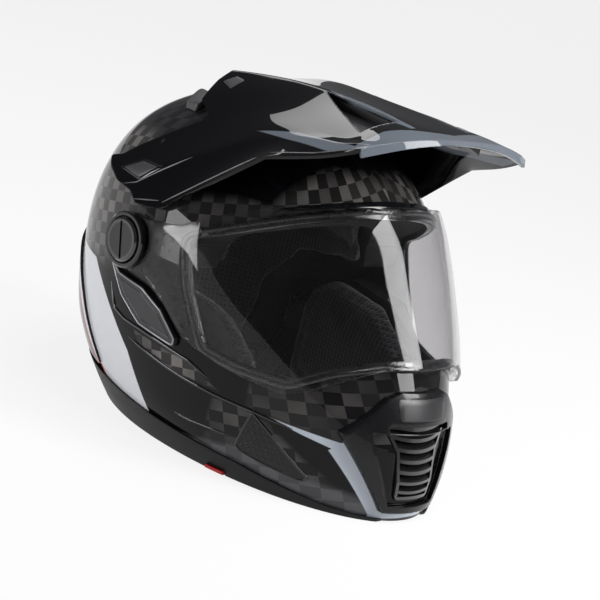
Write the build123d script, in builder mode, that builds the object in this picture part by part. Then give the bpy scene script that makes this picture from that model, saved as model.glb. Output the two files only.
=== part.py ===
"""Dual sport helmet: full-face shell with a peak, a lifting clear shield and a louvred chin vent.

The helmet stands on its base with +Z up and its face towards -Y. The wearer's right hand is at -X.
The origin is on the base plane, under the middle of the helmet. All lengths are millimetres.
"""
from build123d import *
import os

os.makedirs("parts", exist_ok=True)

# Overall size of the shell
half_width = 128.0      # widest half, at cheek height
crown_height = 257.5    # top of the shell over its base
chin_reach = 177.0      # front of the chin bar ahead of the origin
nape_reach = 175.0      # back of the shell behind the origin

# Walls and layers, from the outside in
shell_wall = 3.5
impact_wall = 34.0
comfort_wall = 9.0
chin_foam_wall = 14.0
seat = 0.6              # gap between a piece and what it is seated on
overrun = 60.0          # how far cutting shapes run past the shell

# Shield and its pivots
pivot_y = 38.0
pivot_z = 140.0
lens_wall = 2.2
lens_side = 5.4         # lens outside over the shell at the pivots
lens_front = 10.0       # lens outside over the shell at the brow and chin
hub_radius = 21.0
hub_wall = 4.0
hub_height = 3.2
knob_height = 5.5
knob_gap = 0.6          # between the knob's rim and the hub ring
pivot_radius = 6.0
pivot_clearance = 0.08
slot_width = 2.4
slot_depth = 1.2
slot_turn = 75.0        # degrees that the knob's slot stands off the horizontal
lift_tab_width = 18.0
lift_tab_height = 16.0
lift_tab_reach = 1.6     # tab's face over the lens
lift_tab_x = 12.0
lift_tab_z = 108.0

# Covers, seals and trims on the shell
seal_band = 7.0
seal_side = 2.2
seal_front = 6.0
gutter_band = 6.0
gutter_height = 3.4
plate_height = 2.2
pod_height = 5.0
trim_height = 3.0
spoiler_height = 4.5
crown_vent_height = 5.0
outline_radius = 4.0
port_radius = 9.0
rivet_radius = 2.4
rivet_length = 4.8
screw_gap = 0.2

# Chin vent
cover_height = 5.5
mouth_taper = 12.0      # degrees that the mouth's walls lean in
louvre_count = 7
louvre_thickness = 2.0
louvre_depth = 9.0
louvre_tilt = 28.0      # degrees down towards the front
grille_rail = 2.4
grille_front = 2.4       # louvres' front edges over the shell
duct_half_width = 26.0
duct_wall = 3.0
duct_top = 66.0
duct_bottom = 12.0
duct_back = 149.0       # back face of the duct ahead of the origin
duct_screen = 2.0
window_height = 6.4
window_pitch = 14.0
window_count = 3
shutter_thickness = 2.0
shutter_gap = 0.35
shutter_tab_height = 16.0
shutter_tab_half_width = 7.0
vent_travel = 6.8

# Peak
peak_wall = 2.6
peak_lip = 3.0
peak_clearance = 1.0    # between the peak's edges and the shell
lip_corner_x = 96.0
lip_corner_y = 124.0
lip_centre_y = 139.0
lip_corner_z = 256.5
lip_centre_z = 269.0
peak_boss_radius = 8.0
peak_boss_z = 187.0
peak_boss_y = 56.0
crown_boss_radius = 10.0
crown_boss_y = 24.0
peak_screw_radius = 2.5
peak_screw_head_radius = 5.0
peak_screw_head_height = 2.4
crown_screw_face = 268.5 # underside of the crown screw's head
cover_wall = 1.6

# Padding
cheek_face = 98.0       # where the cheek pads' backing ends, from the mid-plane
cheek_pad_wall = 27.0
cheek_radius = 14.0
neck_roll_wall = 17.0
neck_roll_top = 26.0
neck_roll_bottom = 2.0
neck_roll_front = 84.0  # front ends of the neck roll, behind the origin

# Chin strap
strap_width = 25.0
strap_wall = 2.0
strap_y = 52.0          # front edge of the webbing, behind the origin
strap_anchor_z = 64.0
strap_floor = 1.5
strap_foot_x = 70.0
strap_right_end = -8.0
strap_left_end = 30.0
anchor_face = 102.0     # inner face of the anchors, off the mid-plane
anchor_half_width = 15.0
anchor_height = 26.0
ring_wire = 1.6
ring_roll_wall = 1.4
ring_clearance = 0.1
ring_pitch = 7.0
inner_ring_half = 16.4
outer_ring_half = 23.0
inner_ring_reach = 24.0
outer_ring_reach = 35.0

# Emergency release tabs of the cheek pads
release_front = 81.0
release_back = 66.0
release_wall = 2.6
release_reach = 3.0
release_inside = 84.0   # tabs' inner ends, off the mid-plane
release_gap = 0.4

# Level by level: height, half width, front, back and widest place, as shares of the overall sizes
level_shares = [
    (0.000, 0.805, 1.000, 0.700, -0.050),
    (0.120, 0.905, 0.997, 0.865, 0.010),
    (0.320, 0.976, 0.930, 0.986, 0.110),
    (0.535, 0.999, 0.775, 0.993, 0.180),
    (0.738, 0.930, 0.596, 0.900, 0.235),
    (0.885, 0.712, 0.378, 0.733, 0.269),
    (0.970, 0.395, 0.090, 0.523, 0.286),
    (0.999, 0.080, -0.190, 0.345, 0.290),
]
front_fullness_share = 0.53    # how far each level's curve runs straight on before it turns
back_fullness_share = 0.585

# Side outlines: places fore and aft, and heights, as shares of the reaches and the crown height
port_shares = [
    (-0.079, 0.614), (-0.186, 0.652), (-0.407, 0.742), (-0.537, 0.792), (-1.300, 0.800),
    (-1.300, 0.450), (-0.847, 0.447), (-0.734, 0.400), (-0.621, 0.338), (-0.429, 0.338),
    (-0.282, 0.350), (-0.153, 0.493),
]
lens_shares = [
    (0.217, 0.629), (0.086, 0.629), (-0.045, 0.649), (-0.107, 0.680), (-0.186, 0.715),
    (-0.333, 0.769), (-0.531, 0.823), (-1.300, 0.839), (-1.300, 0.439), (-0.876, 0.431),
    (-0.734, 0.334), (-0.633, 0.299), (-0.362, 0.322), (-0.192, 0.350), (-0.068, 0.419),
    (0.069, 0.470), (0.217, 0.458),
]
trim_shares = [
    (1.371, 0.117), (0.343, 0.093), (0.000, 0.078), (-0.508, 0.058), (-0.706, 0.035),
    (-0.847, 0.018), (-0.980, 0.008), (-0.980, -0.039), (1.371, -0.039),
]
spoiler_shares = [
    (1.371, 0.474), (0.971, 0.458), (0.754, 0.404), (0.571, 0.280), (0.434, 0.171),
    (0.354, 0.112), (0.686, 0.124), (1.371, 0.136),
]
pod_shares = [
    (0.309, 0.474), (0.229, 0.443), (0.069, 0.435), (-0.056, 0.398), (-0.153, 0.338),
    (-0.153, 0.311), (0.057, 0.326), (0.194, 0.381),
]
plate_shares = [
    (0.343, 0.583), (0.309, 0.637), (0.217, 0.652), (0.114, 0.641), (-0.034, 0.614),
    (-0.200, 0.400), (-0.158, 0.357), (-0.068, 0.414), (0.069, 0.450), (0.206, 0.462),
    (0.320, 0.497),
]
rivet_shares = [(0.080, 0.501), (-0.107, 0.450), (-0.169, 0.384)]
rivet_face_shares = [1.007, 0.965, 0.947]    # where their heads end, across
impact_shares = [
    (1.371, 0.124), (0.470, 0.124), (0.470, 0.350), (0.343, 0.482), (-0.050, 0.520), (-0.050, 0.600),
    (-1.356, 0.600), (-1.356, 1.087), (1.371, 1.087),
]
cheek_shares = [
    (-0.441, 0.054), (-0.486, 0.225), (-0.407, 0.342), (-0.192, 0.435), (0.114, 0.450),
    (0.257, 0.373), (0.257, 0.054),
]
cheek_pad_shares = [(0.00, 0.11), (0.22, 0.01), (0.58, 0.06), (0.84, 0.24), (1.00, 0.55)]
brow_shares = [(-0.330, 1.000), (-1.300, 1.000), (-1.300, 0.700), (-0.330, 0.740)]
chin_foam_shares = [
    (-0.500, 0.016), (-1.300, 0.016), (-1.300, 0.470), (-0.780, 0.440), (-0.640, 0.325),
    (-0.510, 0.325),
]
peak_trim_shares = [
    (-1.356, 1.165), (0.337, 1.165), (0.337, 1.017), (0.303, 0.959), (0.171, 0.928),
    (0.240, 0.889), (0.314, 0.847), (0.400, 0.796), (0.457, 0.753), (0.514, 0.738),
    (0.480, 0.707), (0.406, 0.683), (0.303, 0.674), (0.103, 0.600), (-1.356, 0.600),
]
neck_roll_shares = [(0.00, 0.22, 0.72), (0.22, 0.78, 1.00), (0.78, 1.00, 0.76)]
peak_cover_shares = [(0.217, 0.770), (0.300, 0.700), (0.420, 0.690), (0.330, 0.765)]

# Front outlines: places across and heights, as shares of the half width and the crown height
cover_shares = [
    (0.484, 0.237), (0.258, 0.350), (0.172, 0.369), (-0.172, 0.369), (-0.258, 0.350),
    (-0.484, 0.237), (-0.211, 0.031), (0.211, 0.031),
]
mouth_shares = [(0.352, 0.256), (-0.352, 0.256), (-0.185, 0.050), (0.185, 0.050)]
grille_shares = [
    (0.273, 0.280), (-0.273, 0.280), (-0.172, 0.202), (-0.141, 0.066), (0.141, 0.066), (0.172, 0.202),
]
plan_vent_shares = [(0.610, 0.394), (0.437, 0.462), (0.500, 0.337), (0.625, 0.314)]
scoop_shares = [(0.200, -0.100), (0.250, -0.560), (0.530, -0.560)]

# Peak: for each station fore and aft, the section from its middle to its lower edge
peak_shares = [
    (-0.802, [(0, 1.076), (0.195, 1.076), (0.484, 1.064), (0.625, 1.049), (0.703, 1.029), (0.758, 0.998)]),
    (-0.339, [(0, 1.087), (0.172, 1.087), (0.484, 1.068), (0.688, 1.025), (0.805, 0.979), (0.906, 0.920)]),
    (-0.090, [(0, 1.083), (0.156, 1.087), (0.453, 1.072), (0.656, 0.994), (0.844, 0.893), (0.969, 0.788)]),
    (0.114, [(0, 1.064), (0.156, 1.068), (0.422, 1.068), (0.625, 0.951), (0.875, 0.831), (1.020, 0.664)]),
    (0.354, [(0, 1.033), (0.156, 1.037), (0.402, 1.052), (0.531, 0.955), (0.875, 0.808), (1.023, 0.641)]),
    (0.543, [(0, 0.971), (0.156, 0.971), (0.391, 0.971), (0.531, 0.917), (0.828, 0.796), (1.000, 0.641)]),
]


def fore_aft(share):
    """Distance along Y: negative shares run to the chin, positive ones to the nape."""
    return share * (chin_reach if share < 0 else nape_reach)


def side_points(shares):
    """An outline in side view, from shares."""
    return [(fore_aft(along), up * crown_height) for along, up in shares]


def front_points(shares):
    """An outline in front view, from shares."""
    return [(across * half_width, up * crown_height) for across, up in shares]


def quarter(half, middle, reach, fullness):
    """A quarter of a level's outline, from its side round to its front or back."""
    straight = middle + reach * fullness
    Bezier((half, middle), (half, straight), (half * fullness, middle + reach), (0, middle + reach))


front_span = max(ahead * chin_reach + widest * nape_reach for _, _, ahead, _, widest in level_shares)
back_span = max((behind - widest) * nape_reach for _, _, _, behind, widest in level_shares)


def shell_form(side, front):
    """The helmet's form, grown by one amount at the sides and back and another at front and top."""
    with BuildPart() as form:
        for up, wide, ahead, behind, widest in level_shares:
            half = wide * (half_width + side)
            middle = widest * nape_reach
            to_front = -(ahead * chin_reach + middle) * (1 + front / front_span)
            to_back = (behind * nape_reach - middle) * (1 + side / back_span)
            with BuildSketch(Plane.XY.offset(up * (crown_height + front))):
                with BuildLine():
                    for hand in (half, -half):
                        quarter(hand, middle, to_front, front_fullness_share)
                        quarter(hand, middle, to_back, back_fullness_share)
                make_face()
        loft(ruled=True)
    return form.part


def side_prism(points, radius, start, end, grow=0):
    """A prism along X of a side outline, from start to end off the mid-plane."""
    with BuildPart() as prism:
        with BuildSketch(Plane.YZ.offset(start)):
            with BuildLine():
                Polyline(*points, close=True)
            make_face()
            if radius:
                fillet(vertices(), radius)
            if grow:
                offset(amount=grow, kind=Kind.ARC)
        extrude(amount=end - start)
    return prism.part


def front_prism(points, radius, back, draft=0):
    """A prism along Y of a front outline, from ahead of the chin back to a given reach."""
    with BuildPart() as prism:
        with BuildSketch(Plane.XZ.offset(chin_reach + overrun)):
            with BuildLine():
                Polyline(*points, close=True)
            make_face()
            if radius:
                fillet(vertices(), radius)
        extrude(amount=-(chin_reach + overrun - back), taper=draft)
    return prism.part


def finish(piece, name):
    """Label a finished piece and write it."""
    piece.part.label = name
    export_step(piece.part, f"parts/{name}.step")


def finish_pair(piece, name):
    """Write a left-hand piece, and its mirror image as the right-hand one."""
    finish(piece, f"{name}_left")
    with BuildPart() as other:
        mirror(piece.part, about=Plane.YZ)
    finish(other, f"{name}_right")


# Forms that the layers are cut from
past = half_width + overrun
front_edge = chin_reach + overrun
liner_depth = shell_wall + seat
comfort_depth = liner_depth + impact_wall + seat
outer_form = shell_form(0, 0)
wall_form = shell_form(-shell_wall, -shell_wall)
liner_form = shell_form(-liner_depth, -liner_depth)
impact_inside = shell_form(-liner_depth - impact_wall, -liner_depth - impact_wall)
comfort_form = shell_form(-comfort_depth, -comfort_depth)
comfort_inside = shell_form(-comfort_depth - comfort_wall, -comfort_depth - comfort_wall)
seat_form = shell_form(seat, seat)
plate_form = shell_form(plate_height, plate_height)
pod_form = shell_form(pod_height, pod_height)
lens_form = shell_form(lens_side, lens_front)
port_points = side_points(port_shares)
port_cut = side_prism(port_points, port_radius, -past, past)
seal_outline = side_prism(port_points, port_radius, -past, past, seal_band)
seal_clear = side_prism(port_points, port_radius, -past, past, seal_band + seat)
grille_points = front_points(grille_shares)
grille_cut = front_prism(grille_points, outline_radius, chin_reach / 2)

# Outer shell with its eye port, chin vent mouth, crown outlets and screw holes
with BuildPart() as crown_outlets:
    with BuildSketch(Plane.XY.offset(crown_height / 2)):
        with BuildLine():
            Polyline(*[(x * half_width, y * nape_reach) for x, y in plan_vent_shares], close=True)
        make_face()
        offset(amount=-outline_radius)
        mirror(about=Plane.YZ)
    extrude(amount=crown_height)

rivet_points = side_points(rivet_shares)
with BuildPart() as rivet_holes:
    with BuildSketch(Plane.YZ.offset(-past)):
        with Locations(*rivet_points):
            Circle(rivet_radius + screw_gap)
    extrude(amount=past * 2)

release_width = release_front - release_back
release_middle = -(release_front + release_back) / 2
with BuildPart() as release_slots:
    with BuildSketch(Plane.XY):
        with Locations((0, release_middle)):
            Rectangle(past * 2, release_width + release_gap * 2)
    extrude(amount=release_wall + seat + release_gap)

with BuildPart() as peak_screw_bores:
    with BuildSketch(Plane.YZ.offset(-past)):
        with Locations((peak_boss_y, peak_boss_z)):
            Circle(peak_screw_radius + screw_gap)
    extrude(amount=past * 2)
    with BuildSketch(Plane.XY.offset(crown_height / 2)):
        with Locations((0, crown_boss_y)):
            Circle(peak_screw_radius + screw_gap)
    extrude(amount=crown_height)

with BuildPart() as outer_shell:
    add(outer_form)
    add(wall_form, mode=Mode.SUBTRACT)
    add(port_cut, mode=Mode.SUBTRACT)
    add(grille_cut, mode=Mode.SUBTRACT)
    add(crown_outlets.part, mode=Mode.SUBTRACT)
    add(rivet_holes.part, mode=Mode.SUBTRACT)
    add(release_slots.part, mode=Mode.SUBTRACT)
    add(peak_screw_bores.part, mode=Mode.SUBTRACT)
finish(outer_shell, "outer_shell")

# Impact liner of crown and nape, in one foam moulding
impact_outline = side_prism(side_points(impact_shares), outline_radius, -past, past)
with BuildPart() as impact_liner:
    add(liner_form)
    add(impact_outline, mode=Mode.INTERSECT)
    add(impact_inside, mode=Mode.SUBTRACT)
    add(side_prism(port_points, port_radius, -past, past, outline_radius), mode=Mode.SUBTRACT)
finish(impact_liner, "impact_liner")

# Comfort liner, a padded cap inside the impact liner
with BuildPart() as comfort_liner:
    add(comfort_form)
    add(impact_outline, mode=Mode.INTERSECT)
    add(comfort_inside, mode=Mode.SUBTRACT)
    add(side_prism(port_points, port_radius, -past, past, port_radius), mode=Mode.SUBTRACT)
finish(comfort_liner, "comfort_liner")

# Chin vent duct behind the mouth, with a slotted screen and the shutter's slot
window_floor = duct_bottom + duct_wall + window_height
window_half = duct_half_width - duct_wall * 2


def vent_windows(lowest):
    """The row of slots that the duct's screen and the shutter share."""
    with BuildPart() as windows:
        with BuildSketch(Plane.XZ.offset(duct_back - overrun / 2)):
            with Locations(*[(0, lowest + window_pitch * n) for n in range(window_count)]):
                SlotOverall(window_half * 2, window_height)
        extrude(amount=overrun)
    return windows.part


with BuildPart() as duct_block:
    with BuildSketch(Plane.XZ.offset(duct_back)):
        with Locations((0, (duct_top + duct_bottom) / 2)):
            RectangleRounded(duct_half_width * 2, duct_top - duct_bottom, duct_wall)
    extrude(amount=chin_reach - duct_back)

with BuildPart() as duct_inside:
    with BuildSketch(Plane.XZ.offset(duct_back + duct_screen)):
        with Locations((0, (duct_top + duct_bottom) / 2)):
            Rectangle((duct_half_width - duct_wall) * 2, duct_top - duct_bottom - duct_wall * 2)
    extrude(amount=overrun)
    with BuildSketch(Plane.XZ.offset(duct_back + duct_screen)):
        with Locations((0, (duct_top + duct_bottom + duct_wall) / 2)):
            Rectangle((duct_half_width - duct_wall / 2) * 2, duct_top - duct_bottom - duct_wall)
    extrude(amount=shutter_thickness + shutter_gap * 2)

with BuildPart() as chin_vent_duct:
    add(duct_block.part)
    add(duct_inside.part, mode=Mode.SUBTRACT)
    add(vent_windows(window_floor), mode=Mode.SUBTRACT)
    add(liner_form, mode=Mode.INTERSECT)
finish(chin_vent_duct, "chin_vent_duct")

# Shutter of the chin vent: a slotted plate that slides up to close the screen
shutter_half = duct_half_width - duct_wall / 2 - shutter_gap
shutter_bottom = duct_bottom + duct_wall + shutter_gap
shutter_top = duct_top - duct_wall - vent_travel
with BuildPart() as chin_vent_shutter:
    with BuildSketch(Plane.XZ.offset(duct_back + duct_screen + shutter_gap)):
        with Locations((0, (shutter_top + shutter_bottom) / 2)):
            Rectangle(shutter_half * 2, shutter_top - shutter_bottom)
        with Locations((0, shutter_top + shutter_tab_height / 2)):
            Rectangle(shutter_tab_half_width * 2, shutter_tab_height)
    extrude(amount=shutter_thickness)
    add(vent_windows(window_floor), mode=Mode.SUBTRACT)
finish(chin_vent_shutter, "chin_vent_shutter")

# Foam of the chin bar, hollowed for the duct and the shutter's tab
with BuildPart() as duct_room:
    with BuildSketch(Plane.XZ.offset(chin_reach / 2)):
        with Locations((0, (duct_top + duct_bottom) / 2)):
            Rectangle((duct_half_width + seat) * 2, duct_top - duct_bottom + seat * 2)
        with Locations((0, duct_top + shutter_tab_height)):
            Rectangle((shutter_tab_half_width + shutter_gap) * 2, shutter_tab_height * 2)
    extrude(amount=chin_reach)

with BuildPart() as chin_liner:
    add(liner_form)
    add(side_prism(side_points(chin_foam_shares), outline_radius, -past, past), mode=Mode.INTERSECT)
    add(shell_form(-liner_depth - chin_foam_wall, -liner_depth - chin_foam_wall), mode=Mode.SUBTRACT)
    add(duct_room.part, mode=Mode.SUBTRACT)
    add(port_cut, mode=Mode.SUBTRACT)
finish(chin_liner, "chin_liner")

# Chin vent cover: a raised frame round the mouth, whose walls lean in
with BuildPart() as chin_vent_cover:
    add(shell_form(cover_height, cover_height))
    add(front_prism(front_points(cover_shares), outline_radius / 2, chin_reach / 2), mode=Mode.INTERSECT)
    add(seat_form, mode=Mode.SUBTRACT)
    add(front_prism(front_points(mouth_shares), outline_radius, chin_reach - cover_height, mouth_taper),
        mode=Mode.SUBTRACT)
    add(grille_cut, mode=Mode.SUBTRACT)
finish(chin_vent_cover, "chin_vent_cover")

# Chin vent grille: tilted louvres in a thin frame that follows the chin's curve
grille_top = max(z for x, z in grille_points)
grille_bottom = min(z for x, z in grille_points)
louvre_pitch = (grille_top - grille_bottom) / (louvre_count + 1)
with BuildPart() as louvres:
    for n in range(louvre_count):
        height = grille_bottom + louvre_pitch * (n + 1)
        tilted = Plane(origin=(0, -chin_reach, height), x_dir=(1, 0, 0), z_dir=(0, 0, 1))
        with BuildSketch(tilted.rotated((louvre_tilt, 0, 0))):
            Rectangle(half_width, louvre_depth * 4)
        extrude(amount=louvre_thickness / 2, both=True)

with BuildPart() as grille_hollow:
    with BuildSketch(Plane.XZ.offset(front_edge)):
        with BuildLine():
            Polyline(*grille_points, close=True)
        make_face()
        offset(amount=-(grille_rail + seat))
    extrude(amount=-front_edge)

with BuildPart() as grille_outer:
    with BuildSketch(Plane.XZ.offset(front_edge)):
        with BuildLine():
            Polyline(*grille_points, close=True)
        make_face()
        fillet(vertices(), outline_radius)
        offset(amount=-seat)
    extrude(amount=-front_edge)

with BuildPart() as chin_vent_grille:
    add(grille_outer.part)
    add(grille_hollow.part, mode=Mode.SUBTRACT)
    add(louvres.part)
    add(grille_outer.part, mode=Mode.INTERSECT)
    add(shell_form(grille_front, grille_front), mode=Mode.INTERSECT)
    add(wall_form, mode=Mode.SUBTRACT)
finish(chin_vent_grille, "chin_vent_grille")

# Rubber seal round the eye port, and the gutter over it
with BuildPart() as eyeport_seal:
    add(shell_form(seal_side, seal_front))
    add(seal_outline, mode=Mode.INTERSECT)
    add(seat_form, mode=Mode.SUBTRACT)
    add(port_cut, mode=Mode.SUBTRACT)
finish(eyeport_seal, "eyeport_seal")

# Rubber trim round the base
with BuildPart() as base_trim:
    add(shell_form(trim_height, trim_height))
    add(side_prism(side_points(trim_shares), 0, -past, past), mode=Mode.INTERSECT)
    add(seat_form, mode=Mode.SUBTRACT)
    add(release_slots.part, mode=Mode.SUBTRACT)
finish(base_trim, "base_trim")

# Spoiler round the nape, over the base trim
with BuildPart() as rear_spoiler:
    add(shell_form(spoiler_height, spoiler_height))
    add(side_prism(side_points(spoiler_shares), outline_radius / 2, -past, past), mode=Mode.INTERSECT)
    add(seat_form, mode=Mode.SUBTRACT)
finish(rear_spoiler, "rear_spoiler")

# Side pods below the shield's arms
with BuildPart() as side_pod:
    add(pod_form)
    add(side_prism(side_points(pod_shares), outline_radius / 2, 0, past), mode=Mode.INTERSECT)
    add(seat_form, mode=Mode.SUBTRACT)
    add(seal_clear, mode=Mode.SUBTRACT)
finish_pair(side_pod, "side_pod")

# Base plates that carry the shield's pivots
with BuildPart() as pivot_bore:
    with BuildSketch(Plane.YZ.offset(half_width / 2)):
        with Locations((pivot_y, pivot_z)):
            Circle(pivot_radius + pivot_clearance)
    extrude(amount=past)

with BuildPart() as base_plate:
    add(plate_form)
    add(side_prism(side_points(plate_shares), outline_radius / 2, 0, past), mode=Mode.INTERSECT)
    add(seat_form, mode=Mode.SUBTRACT)
    add(seal_clear, mode=Mode.SUBTRACT)
    add(rivet_holes.part, mode=Mode.SUBTRACT)
    add(pivot_bore.part, mode=Mode.SUBTRACT)
finish_pair(base_plate, "base_plate")

# Flush rivets of the base plates
with BuildPart() as plate_rivets:
    for place, face in zip(rivet_points, rivet_face_shares):
        with BuildSketch(Plane.YZ.offset(face * half_width - rivet_length)):
            with Locations(place):
                Circle(rivet_radius)
        extrude(amount=rivet_length)
    mirror(about=Plane.YZ)
finish(plate_rivets, "plate_rivets")

# Clear shield with its arms and lifting tab
with BuildPart() as shield_outline:
    with BuildSketch(Plane.YZ.offset(-past)):
        with BuildLine():
            Polyline(*side_points(lens_shares), close=True)
        make_face()
        fillet(vertices(), outline_radius)
        with Locations((pivot_y, pivot_z)):
            Circle(hub_radius)
    extrude(amount=past * 2)

with BuildPart() as pivot_holes:
    with BuildSketch(Plane.YZ.offset(-past)):
        with Locations((pivot_y, pivot_z)):
            Circle(pivot_radius + pivot_clearance)
    extrude(amount=past * 2)

with BuildPart() as lift_tab:
    with BuildSketch(Plane.XZ.offset(chin_reach / 2)):
        with Locations((lift_tab_x, lift_tab_z)):
            RectangleRounded(lift_tab_width, lift_tab_height, outline_radius)
    extrude(amount=chin_reach)
    add(shell_form(lens_side, lens_front + lift_tab_reach), mode=Mode.INTERSECT)
    add(shell_form(lens_side - lens_wall, lens_front - lens_wall), mode=Mode.SUBTRACT)

with BuildPart() as shield:
    add(lens_form)
    add(shield_outline.part, mode=Mode.INTERSECT)
    add(shell_form(lens_side - lens_wall, lens_front - lens_wall), mode=Mode.SUBTRACT)
    add(pivot_holes.part, mode=Mode.SUBTRACT)
    add(lift_tab.part)
finish(shield, "shield")

# Hub rings on the shield's arms
hub_face = half_width + lens_side + seat
with BuildPart() as shield_hub:
    with BuildSketch(Plane.YZ.offset(half_width / 2)):
        with Locations((pivot_y, pivot_z)):
            Circle(hub_radius)
            Circle(hub_radius - hub_wall, mode=Mode.SUBTRACT)
    extrude(amount=hub_face + hub_height - half_width / 2)
    add(shell_form(lens_side + seat, lens_front + seat), mode=Mode.SUBTRACT)
    chamfer(edges().group_by(Axis.X)[-1], hub_wall / 4)
finish_pair(shield_hub, "shield_hub")

# Quarter-turn knobs that hold the shield
knob_radius = hub_radius - hub_wall - knob_gap
with BuildPart() as knob:
    with BuildSketch(Plane.YZ.offset(hub_face)):
        with Locations((pivot_y, pivot_z)):
            Circle(knob_radius)
    extrude(amount=knob_height)
    chamfer(edges().group_by(Axis.X)[-1], knob_height / 4)
    with BuildSketch(Plane.YZ.offset(half_width + seat)):
        with Locations((pivot_y, pivot_z)):
            Circle(pivot_radius)
    extrude(amount=hub_face - half_width)
    with BuildSketch(Plane.YZ.offset(hub_face + knob_height - slot_depth)):
        with Locations((pivot_y, pivot_z)):
            SlotOverall(knob_radius + pivot_radius * 2, slot_width, rotation=slot_turn)
    extrude(amount=slot_depth, mode=Mode.SUBTRACT)
finish_pair(knob, "pivot_knob")

# Crown vents, low blocks behind the peak's outlets
with BuildPart() as crown_vent:
    with BuildSketch(Plane.XY.offset(crown_height / 2)):
        with BuildLine():
            Polyline(*[(x * half_width, y * nape_reach) for x, y in plan_vent_shares], close=True)
        make_face()
    extrude(amount=crown_height)
    add(shell_form(crown_vent_height, crown_vent_height), mode=Mode.INTERSECT)
    add(seat_form, mode=Mode.SUBTRACT)
finish_pair(crown_vent, "crown_vent")

# Gutter over the eye port
gutter_outside = seal_band + seat + gutter_band
with BuildPart() as brow_gutter:
    add(shell_form(gutter_height, gutter_height))
    add(side_prism(port_points, port_radius, -past, past, gutter_outside), mode=Mode.INTERSECT)
    add(seat_form, mode=Mode.SUBTRACT)
    add(seal_clear, mode=Mode.SUBTRACT)
    with BuildSketch(Plane.YZ.offset(-past)):
        with BuildLine():
            Polyline(*side_points(brow_shares), close=True)
        make_face()
    extrude(amount=past * 2, mode=Mode.INTERSECT)
finish(brow_gutter, "brow_gutter")


def peak_form(inset):
    """The peak's solid form, drawn in by inset, before its hollow and edges are cut."""
    with BuildPart() as form:
        for station, points in peak_shares:
            half = [(x * (half_width - inset), z * crown_height - inset) for x, z in points]
            other = [(-x, z) for x, z in half[:0:-1]]
            with BuildSketch(Plane.XZ.offset(-fore_aft(station))):
                with BuildLine():
                    Polyline(*(other + half), close=True)
                make_face()
        loft(ruled=True)
    return form.part


def lip_plan(inset):
    """The peak's outline in plan: a curved front edge and open sides."""
    with BuildPart() as plan:
        with BuildSketch(Plane.XY):
            with BuildLine():
                ThreePointArc((-lip_corner_x + inset, -lip_corner_y + inset), (0, -lip_centre_y + inset),
                              (lip_corner_x - inset, -lip_corner_y + inset))
                Polyline((lip_corner_x - inset, -lip_corner_y + inset), (past, -lip_corner_y / 2),
                         (past, nape_reach), (-past, nape_reach), (-past, -lip_corner_y / 2),
                         (-lip_corner_x + inset, -lip_corner_y + inset))
            make_face()
        extrude(amount=crown_height * 2)
    return plan.part


# Peak: a folded hood with a lip, two ridges, two scoops and its mounting bosses
with BuildPart() as peak_hollow:
    add(peak_form(peak_wall))
    add(lip_plan(peak_lip), mode=Mode.INTERSECT)

with BuildPart() as lip_arch:
    with BuildSketch(Plane.XZ.offset(lip_corner_y - peak_lip * 4)):
        with BuildLine():
            ThreePointArc((-lip_corner_x, lip_corner_z), (0, lip_centre_z), (lip_corner_x, lip_corner_z))
            Polyline((lip_corner_x, lip_corner_z), (past, lip_corner_z), (past, 0), (-past, 0),
                     (-past, lip_corner_z), (-lip_corner_x, lip_corner_z))
        make_face()
    extrude(amount=overrun)

with BuildPart() as scoops:
    with BuildSketch(Plane.XY.offset(crown_height)):
        with BuildLine():
            Polyline(*[(x * half_width, y * chin_reach) for x, y in scoop_shares], close=True)
        make_face()
        fillet(vertices(), outline_radius / 2)
        mirror(about=Plane.YZ)
    extrude(amount=overrun)

with BuildPart() as peak_bosses:
    with BuildSketch(Plane.YZ.offset(-past)):
        with Locations((peak_boss_y, peak_boss_z)):
            Circle(peak_boss_radius)
    extrude(amount=past * 2)
    with BuildSketch(Plane.XY.offset(crown_height / 2)):
        with Locations((0, crown_boss_y)):
            Circle(crown_boss_radius)
    extrude(amount=crown_height)
    add(peak_form(peak_wall / 2), mode=Mode.INTERSECT)

with BuildPart() as peak_screw_holes:
    add(peak_screw_bores.part)
    with BuildSketch(Plane.XY.offset(crown_screw_face - seat)):
        with Locations((0, crown_boss_y)):
            Circle(peak_screw_head_radius + screw_gap)
    extrude(amount=overrun)

peak_outline = side_prism(side_points(peak_trim_shares), 0, -past, past)
with BuildPart() as peak:
    add(peak_form(0))
    add(lip_plan(0), mode=Mode.INTERSECT)
    add(peak_hollow.part, mode=Mode.SUBTRACT)
    add(lip_arch.part, mode=Mode.SUBTRACT)
    add(scoops.part, mode=Mode.SUBTRACT)
    add(peak_outline, mode=Mode.INTERSECT)
    add(shell_form(peak_clearance, peak_clearance), mode=Mode.SUBTRACT)
    add(peak_bosses.part)
    add(seat_form, mode=Mode.SUBTRACT)
    add(peak_screw_holes.part, mode=Mode.SUBTRACT)
    keep = solids().sort_by(SortBy.VOLUME)[-1]
    add(keep, mode=Mode.REPLACE)
finish(peak, "peak")

# Crown screw, and the diamond fasteners that hold the peak's wings
with BuildPart() as crown_screw:
    with BuildSketch(Plane.XY.offset(crown_screw_face)):
        with Locations((0, crown_boss_y)):
            Circle(peak_screw_head_radius)
    extrude(amount=peak_screw_head_height)
    with BuildSketch(Plane.XY.offset(crown_height - shell_wall)):
        with Locations((0, crown_boss_y)):
            Circle(peak_screw_radius)
    extrude(amount=crown_screw_face - crown_height + shell_wall)
finish(crown_screw, "crown_screw")

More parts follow.
